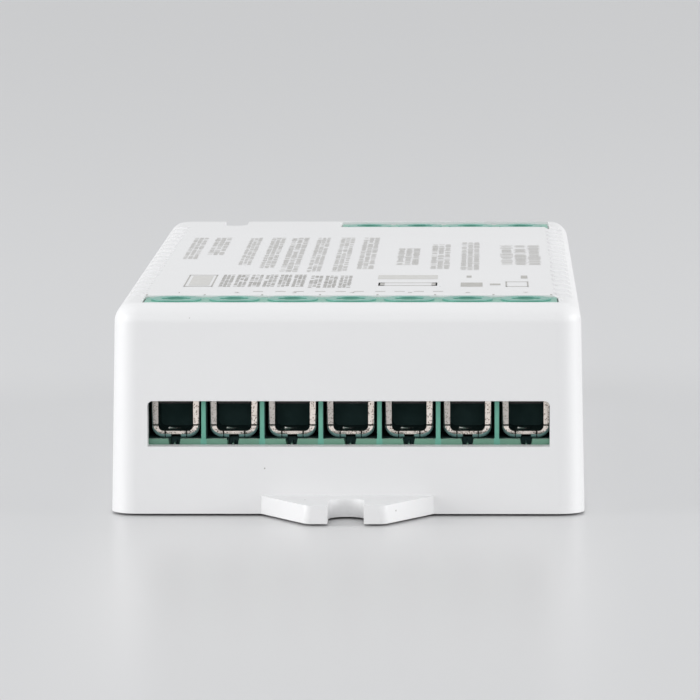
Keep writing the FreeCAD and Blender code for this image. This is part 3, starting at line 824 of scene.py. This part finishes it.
@dataclass
class TerminalBlock:
    """One green block with its collars round the driver holes."""

    side: Side
    edge: float = 0.045
    block_top: float = 17.99
    collar_inner: float = 1.3
    collar_outer: float = 2.2
    collar_height: float = 0.14
    collar_sink: float = 0.02
    collar_edge: float = 0.05
    mouth_end: float = 38.9
    chamber_top: float = 15.5

    def housing(self, material: Material, deep: Material) -> None:
        """Soften and dress the green housing.

        Args:
            material: Finish of its outside.
            deep: The darker copy of the green, whose tone is painted shade, for its chambers behind the
                mouths.
        """
        node = f"{self.side.tag}_terminal_housing"
        block = merged_copy(node, f"{self.side.tag}_block_moulding")
        soften(block, self.edge)
        smooth(block)
        dress(block, material)
        block.data.materials.append(deep)
        # Faces in the chambers get the painted-shade copy of the green.
        for face in block.data.polygons:
            middle = face.center / MM
            if abs(middle.y) < self.mouth_end and middle.z < self.chamber_top:
                face.material_index = 1
        stand_for(block, "case", "terminal_green", node)

    def collars(self, tree: ShapeTree, material: Material) -> None:
        """Grow the row of low collars round the driver holes.

        Args:
            tree: The tree of rings in a row.
            material: Their finish.
        """
        xs = self.side.centres()
        rise = self.collar_height - self.collar_sink
        first = (xs[0] * MM, self.side.out * SCREW_LINE * MM, (self.block_top + rise / 2) * MM)
        rings = tree.grow(f"{self.side.tag}_collars", material, {
            "Count": self.side.poles, "First": first, "Pitch": (xs[1] - xs[0]) * MM,
            "Radius": (self.collar_inner + self.collar_outer) / 2 * MM,
            "Width": (self.collar_outer - self.collar_inner) * MM,
            "Height": (rise + 2 * self.collar_sink) * MM, "Edge": self.collar_edge * MM})
        smooth(rings)
        stand_for(rings, "case", "terminal_green")


def collar_tree() -> ShapeTree:
    """Build the tree of equal rings in a row.

    Returns:
        The tree, whose inputs are lengths in metres.
    """
    tree = ShapeTree("collar_row", {
        "Count": 7, "First": (0.0, 0.0, 0.0), "Pitch": 0.005, "Radius": 0.0015, "Width": 0.0006,
        "Height": 0.0002, "Edge": 0.00005})
    given = tree.given
    line = tree.geo("MeshLine", {
        "Count": given["Count"], "Start Location": given["First"], "Offset": tree.vector(given["Pitch"])})
    circle = tree.geo("CurvePrimitiveCircle", {"Resolution": 56, "Radius": given["Radius"]})
    section = tree.geo("CurvePrimitiveQuadrilateral", {"Width": given["Width"], "Height": given["Height"]})
    rounded = tree.geo("FilletCurve", {"Curve": section, "Count": 2, "Radius": given["Edge"]}, mode="POLY")
    ring = tree.geo("CurveToMesh", {"Curve": circle, "Profile Curve": rounded})
    return tree.end(tree.geo("InstanceOnPoints", {"Points": line, "Instance": ring}))


def screw_tree() -> ShapeTree:
    """Build the tree of a cheese-head screw with a real helical thread.

    Returns:
        The tree, whose inputs are lengths in metres.
    """
    tree = ShapeTree("clamp_screw", {
        "Place": (0.0, 0.0, 0.0), "Crest": 0.00125, "Root": 0.001, "Lead": 0.00045, "Length": 0.0044,
        "Head Radius": 0.0019, "Head Height": 0.0017, "Slot Width": 0.0008, "Slot Depth": 0.0009})
    given, calc, end_gap, tip_share = tree.given, tree.math, 0.001, 0.8

    # A flat sheet is rolled into the thread; its first and last rows close to points on the axis
    sheet = tree.geo("MeshGrid", {"Size X": 1.0, "Size Y": 1.0, "Vertices X": 29, "Vertices Y": 61})
    x, y, _ = tree.split(tree.geo("InputPosition"))
    around, along = calc("ADD", x, 0.5), calc("ADD", y, 0.5)
    height = calc("MULTIPLY", along, given["Length"])
    turns = calc("ADD", calc("DIVIDE", height, given["Lead"]), around)
    flank = calc("MULTIPLY", calc("PINGPONG", turns, 0.5), 2.0)
    depth = calc("SUBTRACT", given["Crest"], given["Root"])
    radius = calc("SUBTRACT", given["Crest"], calc("MULTIPLY", flank, depth))
    tapered = calc("MULTIPLY", radius, tree.span(height, 0.0, given["Lead"], tip_share))
    started, unfinished = calc("GREATER_THAN", along, end_gap), calc("LESS_THAN", along, 1.0 - end_gap)
    closed = calc("MULTIPLY", tapered, calc("MULTIPLY", started, unfinished))
    angle = calc("MULTIPLY", around, 2 * math.pi)
    point = tree.vector(
        calc("MULTIPLY", closed, calc("COSINE", angle)), calc("MULTIPLY", closed, calc("SINE", angle)),
        calc("SUBTRACT", height, given["Length"]))
    rolled = tree.geo("SetPosition", {"Geometry": sheet, "Position": point})
    thread = tree.geo("MergeByDistance", {"Geometry": rolled, "Distance": 1e-6})

    head = tree.geo("MeshCylinder", {
        "Vertices": 48, "Radius": given["Head Radius"], "Depth": given["Head Height"]})
    lift = tree.vector(0.0, 0.0, calc("MULTIPLY", given["Head Height"], 0.5))
    raised = tree.geo("Transform", {"Geometry": head, "Translation": lift})
    bar = tree.geo("MeshCube", {"Size": tree.vector(
        calc("MULTIPLY", given["Head Radius"], 3.0), given["Slot Width"],
        calc("MULTIPLY", given["Slot Depth"], 2.0))})
    top = tree.vector(0.0, 0.0, given["Head Height"])
    slot = tree.geo("Transform", {"Geometry": bar, "Translation": top})
    slotted = tree.geo("MeshBoolean", {0: raised, 1: slot}, operation="DIFFERENCE")
    both = tree.join(thread, slotted)
    return tree.end(tree.geo("Transform", {"Geometry": both, "Translation": given["Place"]}))


@dataclass
class RisingCage:
    """A clamping cage: one strip bent into a closed loop, doubled and tapped at the top."""

    width: float = 4.2
    strip: float = 0.62
    bottom: float = 6.12
    top: float = 11.12
    length: float = 3.9
    front: float = 38.362
    bend: float = 1.05
    top_bend: float = 0.35
    shoulder: float = 0.6
    rolled_edge: float = 0.32
    burr: float = 0.045
    bore: float = 1.3
    groove: float = 0.26
    groove_width: float = 0.85
    groove_step: float = 0.02
    crease_depth: float = 0.05
    crease_width: float = 0.035
    wall_crease: float = 0.06
    floor_crease: float = 0.12
    darker_leg_amount: float = 0.6
    tongue_bite: float = 0.01
    tongue_gap: float = 0.02
    tongue_inset: float = 0.1
    ridge_half: float = 0.3
    ridge_reach: float = 1.0
    ridge_rise: float = 0.12
    ridge_root: float = 0.02
    slack: float = 0.01

    # Angles in degrees round the rolled edge
    ROLL_ANGLES = (4, 30, 60, 90)
    # Along the ridge: share of its reach, share of its height, and the strength of its painted glint
    RIDGE_ROWS = ((-0.8, 0.0, 0.3), (-0.7, 1.0, 1.0), (-0.15, 0.35, 0.8), (0.1, 0.2, 0.1), (1.0, 0.0, 0.05))
    # Across the ridge: share of its half width and share of its height
    RIDGE_PROFILE = ((-1, 0.0), (-0.9, 1.0), (0, 1.05), (0.9, 0.9), (1, 0.0))

    def outline(self) -> list[tuple[Vector, float, float]]:
        """Follow the loop once.

        Returns:
            For each station the outer point (X, Z), the amount of rolled edge from 0 to 1, and 1
            on a crease.
        """
        half, r, low = self.width / 2, self.bend, self.bottom
        neck, side, step = self.top - self.top_bend, self.groove_width / 2, self.groove_step
        stations = [(Vector((side - step, low)), 0.2, 0.0), (Vector((side + step, low)), 1.0, 0.0)]

        def crease(x: float, z: float, along: Vector, rolled: float) -> None:
            """Add five stations that make one narrow crease.

            Args:
                x: Its middle across the cage.
                z: Its middle in height.
                along: Direction of the strip there.
                rolled: Amount of rolled edge.
            """
            for i, mark in ((-2, 0.0), (-1, 0.6), (0, 1.0), (1, 0.6), (2, 0.0)):
                stations.append((Vector((x, z)) + along * (i * self.crease_width), rolled, mark))

        def corner(z: float, radius: float, start: float, steps: int, roll: Sequence[float]) -> None:
            """Add a quarter bend, anticlockwise, whose rolled edge fades late.

            Args:
                z: Height of its centre.
                radius: Its outer radius.
                start: Angle at which it starts, in degrees.
                steps: Number of facets.
                roll: Amount of rolled edge at its start and end.
            """
            for i in range(steps + 1):
                a = math.radians(start + 90.0 * i / steps)
                spot = Vector((half - radius, z)) + Vector((math.cos(a), math.sin(a))) * radius
                fade = max(0.0, 1.6 * i / steps - 0.6)
                stations.append((spot, roll[0] - (roll[0] - roll[1]) * fade, 0.0))

        crease(half - r - self.floor_crease, low, Vector((1, 0)), 1.0)
        corner(low + r, r, 270.0, 10, (1.0, 0.45))
        crease(half, low + r + self.wall_crease, Vector((0, 1)), 0.4)
        stations.append((Vector((half, neck - self.shoulder)), 0.1, 0.0))
        corner(neck, self.top_bend, 0.0, 4, (0.1, 0.1))
        return stations + [(Vector((-p.x, p.y)), rolled, mark) for p, rolled, mark in reversed(stations)]

    def inner(self, point: Vector) -> Vector:
        """Find the point on the inside of the strip that faces an outer point.

        Args:
            point: The outer point (X, Z).

        Returns:
            The inner one.
        """
        half, t = self.width / 2 - self.strip, self.strip
        hollow = self.bend - t
        x = min(max(point.x, -half), half)
        z = min(max(point.y, self.bottom + t), self.top - t)
        cx, cz = math.copysign(half - hollow, point.x), self.bottom + t + hollow
        if abs(x) > half - hollow and z < cz:
            away = Vector((point.x - cx, point.y - cz)).normalized()
            return Vector((cx, cz)) + away * hollow
        return Vector((x, z))

    def ring(self, shape: bmesh.types.BMesh, outer: Vector, rolled: float,
             mark: float) -> list[bmesh.types.BMVert]:
        """Add the strip's section at one station.

        Args:
            shape: The mesh under work, with its zone layers.
            outer: The station's outer point.
            rolled: Amount of rolled edge from 0 to 1.
            mark: 1 on a crease.

        Returns:
            The section's vertices in order.
        """
        zone = shape.verts.layers.float
        inner = self.inner(outer)
        if abs(outer.x) < self.groove_width / 2 and outer.y < self.bottom + self.slack:
            outer = outer + Vector((0, self.groove))
        thick = (inner - outer).length
        into = (inner - outer) / thick
        # A crease is a real shallow dent; its dark colour is painted shade.
        roll, sink = max(self.burr, self.rolled_edge * rolled), self.crease_depth * mark
        # One leg of each cage is drawn darker.
        darker_leg = self.darker_leg_amount if outer.x < -self.width / 2 + self.slack else 0.0
        face = [(thick - self.burr, sink), (roll, sink)]
        edge = [(roll * (1 - math.sin(a)), roll * (1 - math.cos(a)) + sink)
                for a in map(math.radians, self.ROLL_ANGLES)]
        edge.append((0.0, self.length - self.burr))
        back = [(self.burr, self.length), (thick - self.burr, self.length),
                (thick, self.length - self.burr), (thick, self.burr + sink)]
        # The rolled edge carries the painted teal reflection, and the strip's rear and inner faces carry
        # painted shade.
        found, tinted = [], min(1.0, 1.2 * rolled)
        for points, tint, inside in ((face, 0.0, 0.0), (edge, tinted, 0.0), (back, 0.0, 1.0)):
            for inward, deep in points:
                spot = outer + into * inward
                vertex = shape.verts.new((spot.x * MM, deep * MM, spot.y * MM))
                for name, value in (("crease", mark), ("rolled", tint), ("inside", inside), ("darker_leg", darker_leg)):
                    vertex[zone[name]] = value
                found.append(vertex)
        return found

    def loop(self) -> Mesh:
        """Build the bent strip round the origin of X, front face at Y 0, running to +Y.

        Returns:
            The mesh, with its zone layers and no hole yet.
        """
        mesh = bpy.data.meshes.new("cage_loop")
        with reshaped(mesh) as shape:
            for name in ("crease", "rolled", "inside", "darker_leg", "painted_glint"):
                shape.verts.layers.float.new(name)
            rings = [self.ring(shape, *station) for station in self.outline()]
            for a, b in zip(rings, rings[1:] + rings[:1]):
                for i, j in zip(range(len(a)), [*range(1, len(a)), 0]):
                    shape.faces.new((a[i], a[j], b[j], b[i]))
            half = self.width / 2 - self.strip + self.tongue_bite
            z0, z1 = self.top - 2 * self.strip, self.top - self.strip - self.tongue_gap
            size = (2 * half * MM, (self.length - self.tongue_inset) * MM, (z1 - z0) * MM, 1)
            middle = Matrix.Translation((0, self.length / 2 * MM, (z0 + z1) / 2 * MM))
            bmesh.ops.create_cube(shape, size=1.0, matrix=middle @ Matrix.Diagonal(size))
            bmesh.ops.recalc_face_normals(shape, faces=shape.faces)
        return mesh

    def ridge(self, shape: bmesh.types.BMesh) -> None:
        """Add the gripping ridge across the loop's floor: a painted glint at its higher end, painted shade
        elsewhere.

        Args:
            shape: The cage's shape.
        """
        inside, painted_glint = (shape.verts.layers.float[name] for name in ("inside", "painted_glint"))
        half, reach, root = (v * MM for v in (self.ridge_half, self.ridge_reach, self.ridge_root))
        low, tall = (self.bottom + self.strip) * MM - root, self.ridge_rise * MM + root
        rows = []
        for along, share, bright in self.RIDGE_ROWS:
            row = [shape.verts.new((reach * along, self.length / 2 * MM + half * k, low + tall * share * c))
                   for k, c in self.RIDGE_PROFILE]
            for vertex in row:
                # Painted shade on the ridge, fading where the painted glint is.
                vertex[inside] = 1.0 - bright
                vertex[painted_glint] = bright
            rows.append(row)
        made = [shape.faces.new((a[i], a[i + 1], b[i + 1], b[i]))
                for a, b in zip(rows, rows[1:]) for i in range(len(a) - 1)]
        rim = ([row[0] for row in rows] + rows[-1][1:] + [row[-1] for row in reversed(rows[:-1])]
               + rows[0][-2:0:-1])
        made.append(shape.faces.new(rim))
        bmesh.ops.recalc_face_normals(shape, faces=made)

    def finished(self) -> Object:
        """Cut the tapped hole, add the ridge and dress the strip.

        Returns:
            One cage round the origin, to be copied to each pole.
        """
        obj = placed("cage_pattern", self.loop())
        mesh = bpy.data.meshes.new("drill")
        place = Matrix.Translation((0, self.length / 2 * MM, (self.top - self.strip) * MM))
        with reshaped(mesh) as shape:
            bmesh.ops.create_cone(shape, cap_ends=True, segments=40, radius1=self.bore * MM,
                                  radius2=self.bore * MM, depth=3 * self.strip * MM, matrix=place)
        drill = placed("drill", mesh)
        cut = obj.modifiers.new("bore", "BOOLEAN")
        cut.object = drill
        cut.operation = "DIFFERENCE"
        cut.solver = "FAST"
        settle(obj)
        bpy.data.objects.remove(drill)
        with reshaped(obj.data) as shape:
            self.ridge(shape)
        smooth(obj, 40.0)
        dress(obj, TIN.material())
        return obj

    def build(self) -> None:
        """Put a copy of the cage at every pole of both rows."""
        pattern = self.finished()
        for side in Side:
            for i, x in enumerate(side.centres()):
                mesh = pattern.data.copy()
                turn = Matrix.Rotation(math.pi if side is Side.REAR else 0.0, 4, "Z")
                move = Matrix.Translation((x * MM, side.out * self.front * MM, 0))
                mesh.transform(move @ turn)
                cage = placed(f"{side.tag}_strip_cage_{i + 1}", mesh)
                stand_for(cage, f"{side.tag}_cage_body_{i + 1}", "cage_tin", f"{side.tag}_cage_{i + 1}")
        bpy.data.objects.remove(pattern)


@dataclass
class ClampScrews:
    """The slotted screws that lift the cages."""

    head_seat: float = 14.32
    tip: float = 9.93

    def build(self) -> None:
        """Grow one threaded screw at every pole."""
        tree, material = screw_tree(), SCREW.material()
        for side in Side:
            for i, x in enumerate(side.centres()):
                place = (x * MM, side.out * SCREW_LINE * MM, self.head_seat * MM)
                screw = tree.grow(f"{side.tag}_threaded_screw_{i + 1}", material, {
                    "Place": place, "Length": (self.head_seat - self.tip) * MM})
                smooth(screw, 35.0)
                stand_for(screw, f"{side.tag}_screw_body_{i + 1}", "screw_steel",
                          f"{side.tag}_screw_{i + 1}")


@dataclass
class RoofPrint:
    """The faint grey print on the roof, kept to plain bars, frames and numbers."""

    height: float = 18.178
    glyph_pitch: float = 0.46
    dense_pitch: float = 0.42
    dense_width: float = 1.3
    dense_gap: float = 0.1
    frame_line: float = 0.14
    tick_half: float = 0.09
    dash: float = 0.9
    number_line: float = -32.4
    number_size: float = 1.1
    seed: int = 7

    # X left, X right, Y front, Y rear of each faint column behind the middle
    COLUMNS = ((-16.6, -15.2, 0, 22), (-14.5, -12.9, 4, 22), (-11.1, -9.9, -6, 22), (-9.0, -7.6, -9, 22),
               (-7.0, -5.3, -12.8, 22), (-4.5, -3.2, -12.8, 22), (-2.2, -0.8, -12.8, 22),
               (0.0, 1.6, -10, 22), (3.6, 5.7, -6, 10.4), (6.8, 8.6, -10, 14.6), (9.6, 11.35, -11, 16.8),
               (13.3, 17.1, -6, 13.5))
    FAINT_BARS = ((-14.6, -12.75, -25.6, -16.8), (2.2, 7.6, -19.9, -16.1))
    BARS = ((2.35, 2.9, -25.9, -23.1), (7.1, 7.6, -25.9, -23.1), (10.2, 10.65, -18.5, -16.6),
            (9.7, 11.65, -26.8, -23.1), (12.3, 13.25, -25.5, -24.0), (15.1, 15.7, -19.4, -16.6))
    FRAMES = ((-15.0, -12.4, -26.6, -15.8), (2.35, 7.6, -25.9, -23.1), (13.7, 15.75, -26.8, -22.2))
    DENSE = ((-12.0, -4.2, -26.6, -15.8), (-4.0, 0.0, -27.5, -16.8))
    DASHES = (-8.6, -6.6, -5.0, -3.1, -1.3, 0.3, 2.2, 3.9, 5.6, 7.3)
    DASH_ENDS = (-31.2, -30.8)
    TICKS = (-17.76, -12.69, -7.65, -2.57, 2.46, 7.51, 12.61, 17.66)
    TICK_ENDS = (-34.3, -33.5)

    def outlined(self, box: Box) -> list[Box]:
        """Turn a rectangle into its outline.

        Args:
            box: The rectangle.

        Returns:
            Four strokes.
        """
        x0, x1, y0, y1 = box
        line, tall = self.frame_line, 3 * self.frame_line
        return [(x0, x1, y0, y0 + tall), (x0, x1, y1 - tall, y1), (x0, x0 + line, y0, y1),
                (x1 - line, x1, y0, y1)]

    def lines(self, boxes: Iterable[Box]) -> Mesh:
        """Make one line along Y for each column, with its width as an attribute.

        Args:
            boxes: The columns.

        Returns:
            One mesh of edges.
        """
        mesh = bpy.data.meshes.new("print_lines")
        points, edges, widths = [], [], []
        for x0, x1, y0, y1 in boxes:
            edges.append((len(points), len(points) + 1))
            points += [((x0 + x1) / 2 * MM, y * MM, self.height * MM) for y in (y0, y1)]
            widths += [(x1 - x0) * MM] * 2
        mesh.from_pydata(points, edges, [])
        mesh.attributes.new("wide", "FLOAT", "POINT").data.foreach_set("value", widths)
        return mesh

    def numbers(self) -> list[Object]:
        """Set the plain numbers of the seven front poles.

        Returns:
            One flat mesh object for each number.
        """
        out = []
        for i, x in enumerate(Side.FRONT.centres()):
            text = bpy.data.curves.new(f"pole_number_{i + 1}", "FONT")
            text.body = str(i + 1)
            text.size = self.number_size * MM
            text.align_x = "CENTER"
            text.resolution_u = 3
            holder = placed("number_holder", text)
            bpy.context.view_layer.update()
            mesh = bpy.data.meshes.new_from_object(holder)
            mesh.transform(Matrix.Translation((x * MM, self.number_line * MM, self.height * MM)))
            bpy.data.objects.remove(holder)
            out.append(placed(f"pole_number_{i + 1}", mesh))
        return out

    def bands(self) -> list[Box]:
        """Divide each dense field into columns with a gap between them.

        Returns:
            The columns of every field.
        """
        found = []
        for x0, x1, y0, y1 in self.DENSE:
            count = max(2, round((x1 - x0) / self.dense_width))
            step = (x1 - x0) / count
            found += [(x0 + i * step + self.dense_gap, x0 + (i + 1) * step - self.dense_gap, y0, y1)
                      for i in range(count)]
        return found

    def build(self) -> None:
        """Print the roof in two strengths of grey."""
        ink, faint = INK.material(), FAINT_INK.material()
        tree = print_tree()
        columns = tree.grow("faint_columns", faint, {"Pitch": self.glyph_pitch * MM, "Seed": self.seed},
                            self.lines(self.COLUMNS))
        dense = tree.grow("dense_columns", ink, {"Pitch": self.dense_pitch * MM, "Seed": self.seed + 4},
                          self.lines(self.bands()))
        solid = flat("print_bars", self.BARS, self.height)
        wide = flat("faint_bars", self.FAINT_BARS, self.height)
        frames = flat("print_frames", [s for box in self.FRAMES for s in self.outlined(box)], self.height)
        short = [(x - self.tick_half, x + self.tick_half, *self.TICK_ENDS) for x in self.TICKS]
        short += [(x, x + self.dash, *self.DASH_ENDS) for x in self.DASHES]
        ticks = flat("print_ticks", short, self.height)
        labels = self.numbers()
        for part in [solid, frames, ticks] + labels:
            dress(part, ink)
        dress(wide, faint)
        piece = joined("roof_print", [columns, dense, solid, wide, frames, ticks] + labels)
        stand_for(piece, "case", "cover_plastic")


def print_tree() -> ShapeTree:
    """Build the tree that strews short strokes along lines, in three lanes across each line.

    Returns:
        The tree, which works on a mesh of lines with the attribute wide.
    """
    tree = ShapeTree("printed_strokes", {"Pitch": 0.0006, "Seed": 1})
    lane_share, kept_share, widths, depths = 0.34, 0.85, (0.2, 0.34), (0.45, 0.85)
    given = tree.given
    curve = tree.geo("MeshToCurve", {"Mesh": given["Geometry"]})
    points = tree.geo("CurveToPoints", {"Curve": curve, "Length": given["Pitch"]}, mode="LENGTH")
    wide = tree.geo("InputNamedAttribute", {"Name": "wide"}, data_type="FLOAT")
    stroke = tree.geo("MeshGrid", {"Size X": 1.0, "Size Y": 1.0, "Vertices X": 2, "Vertices Y": 2})

    def drawn(seed: NodeSocket, span: tuple[float, float]) -> NodeSocket:
        """Draw a random number in a span for each stroke."""
        return tree.add("FunctionNodeRandomValue", {2: span[0], 3: span[1], "Seed": seed}).outputs[1]

    lanes = []
    for lane in (-1, 0, 1):
        seed = tree.math("ADD", given["Seed"], 11.0 * (lane + 2))
        shift = tree.vector(tree.math("MULTIPLY", wide, lane_share * lane))
        row = tree.geo("SetPosition", {"Geometry": points, "Offset": shift})
        keep = tree.add("FunctionNodeRandomValue", {"Probability": kept_share, "Seed": seed},
                        data_type="BOOLEAN")
        across = tree.math("MULTIPLY", wide, drawn(seed, widths))
        along = tree.math("MULTIPLY", given["Pitch"], drawn(tree.math("ADD", seed, 5.0), depths))
        lanes.append(tree.geo("InstanceOnPoints", {
            "Points": row, "Selection": keep.outputs[3], "Instance": stroke,
            "Scale": tree.vector(across, along, 1.0)}))
    return tree.end(tree.join(*lanes))


@dataclass
class Board:
    """The circuit board and what stands on it, which keep their CAD shapes."""

    press: float = 0.25

    def dome(self) -> None:
        """Make the switch's spring dome."""
        dome = merged_copy("switch_dome", "snap_dome")
        smooth(dome)
        dress(dome, SPRING.material())
        stand_for(dome, "case", "spring_steel", "switch_dome")
        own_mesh(dome)

    def build(self) -> None:
        """Dress every carried node with its procedural finish, and make the dome."""
        for nodes, finish in CARRIED.items():
            material = finish.material()
            for node in nodes.split():
                obj = frame["nodes"][node]
                if not obj.data.materials:
                    obj.data.materials.append(None)
                for slot in obj.material_slots:
                    slot.link = "OBJECT"
                    slot.material = material
                log.info("%s keeps its CAD shape", node)
        self.dome()


# Room and camera

@dataclass(frozen=True)
class SoftLight:
    """One large soft light."""

    name: str
    place_m: tuple[float, float, float]
    aim_m: tuple[float, float, float]
    size_m: tuple[float, float]
    watts: float

    def build(self) -> None:
        """Put the light into the scene."""
        data = bpy.data.lights.new(self.name, "AREA")
        data.shape = "RECTANGLE"
        data.size, data.size_y = self.size_m
        data.energy = self.watts
        obj = placed(self.name, data)
        obj.location = self.place_m
        look = Vector(self.aim_m) - Vector(self.place_m)
        obj.rotation_euler = look.to_track_quat("-Z", "Y").to_euler()


@dataclass
class Studio:
    """The pale floor, the light tent and the camera; angles are in degrees."""

    ambient: float = 0.79
    floor_reach: float = 1600.0
    floor_drop: float = 0.18
    camera_place: tuple[float, float, float] = (12.0281, -492.4366, 64.1255)
    yaw: float = 1.49811
    pitch: float = 6.32325
    roll: float = -0.16838
    lens: float = 270.64
    sensor: float = 36.0
    clip_m: tuple[float, float] = (0.01, 20.0)

    LIGHTS = (
        SoftLight("left_softbox", (-0.60, -0.12, 0.16), (0.0, 0.0, 0.01), (0.5, 0.34), 2.2),
        SoftLight("right_softbox", (0.62, -0.05, 0.16), (0.0, 0.0, 0.01), (0.42, 0.34), 2.0),
        SoftLight("front_softbox", (0.0, -1.30, 0.45), (0.0, 0.0, 0.0), (0.9, 0.6), 2.1),
    )

    def build(self) -> None:
        """Build the floor, the lights and the camera."""
        self.floor()
        world = bpy.data.worlds.new("light_tent")
        bpy.context.scene.world = world
        wires = emptied(world)
        sky = {"Color": (0.985, 0.992, 1.0, 1.0), "Strength": self.ambient}
        wires.add("ShaderNodeOutputWorld", {"Surface": wires.put("ShaderNodeBackground", sky)})
        for light in self.LIGHTS:
            light.build()
        self.camera()

    def floor(self) -> None:
        """Lay the floor a hair under the case."""
        reach = self.floor_reach
        table = flat("table", [(-reach, reach, -reach, reach)], -self.floor_drop)
        dress(table, FLOOR.material())

    def camera(self) -> None:
        """Set the camera to the photograph's place and angle."""
        data = bpy.data.cameras.new("camera")
        data.lens = self.lens
        data.sensor_width = self.sensor
        data.clip_start, data.clip_end = self.clip_m
        obj = placed("camera", data)
        obj.matrix_world = Matrix.Translation(Vector(self.camera_place) * MM)
        for angle, axis in ((self.yaw, "Z"), (90.0 - self.pitch, "X"), (self.roll, "Z")):
            obj.matrix_world @= Matrix.Rotation(math.radians(angle), 4, axis)
        bpy.context.scene.camera = obj


def main() -> None:
    """Build every sub-assembly, the room and the camera."""
    logging.basicConfig(level=logging.INFO, format="%(name)s: %(message)s")
    Shell().build()
    green, collar, deep = (finish.material() for finish in (GREEN, GREEN_COLLAR, CHAMBER_SHADE))
    rings = collar_tree()
    for side in Side:
        block = TerminalBlock(side)
        block.housing(green, deep)
        block.collars(rings, collar)
    RisingCage().build()
    ClampScrews().build()
    RoofPrint().build()
    Board().build()
    Studio().build()
    bpy.context.scene.view_settings.view_transform = "Standard"


if __name__ == "__main__":
    main()
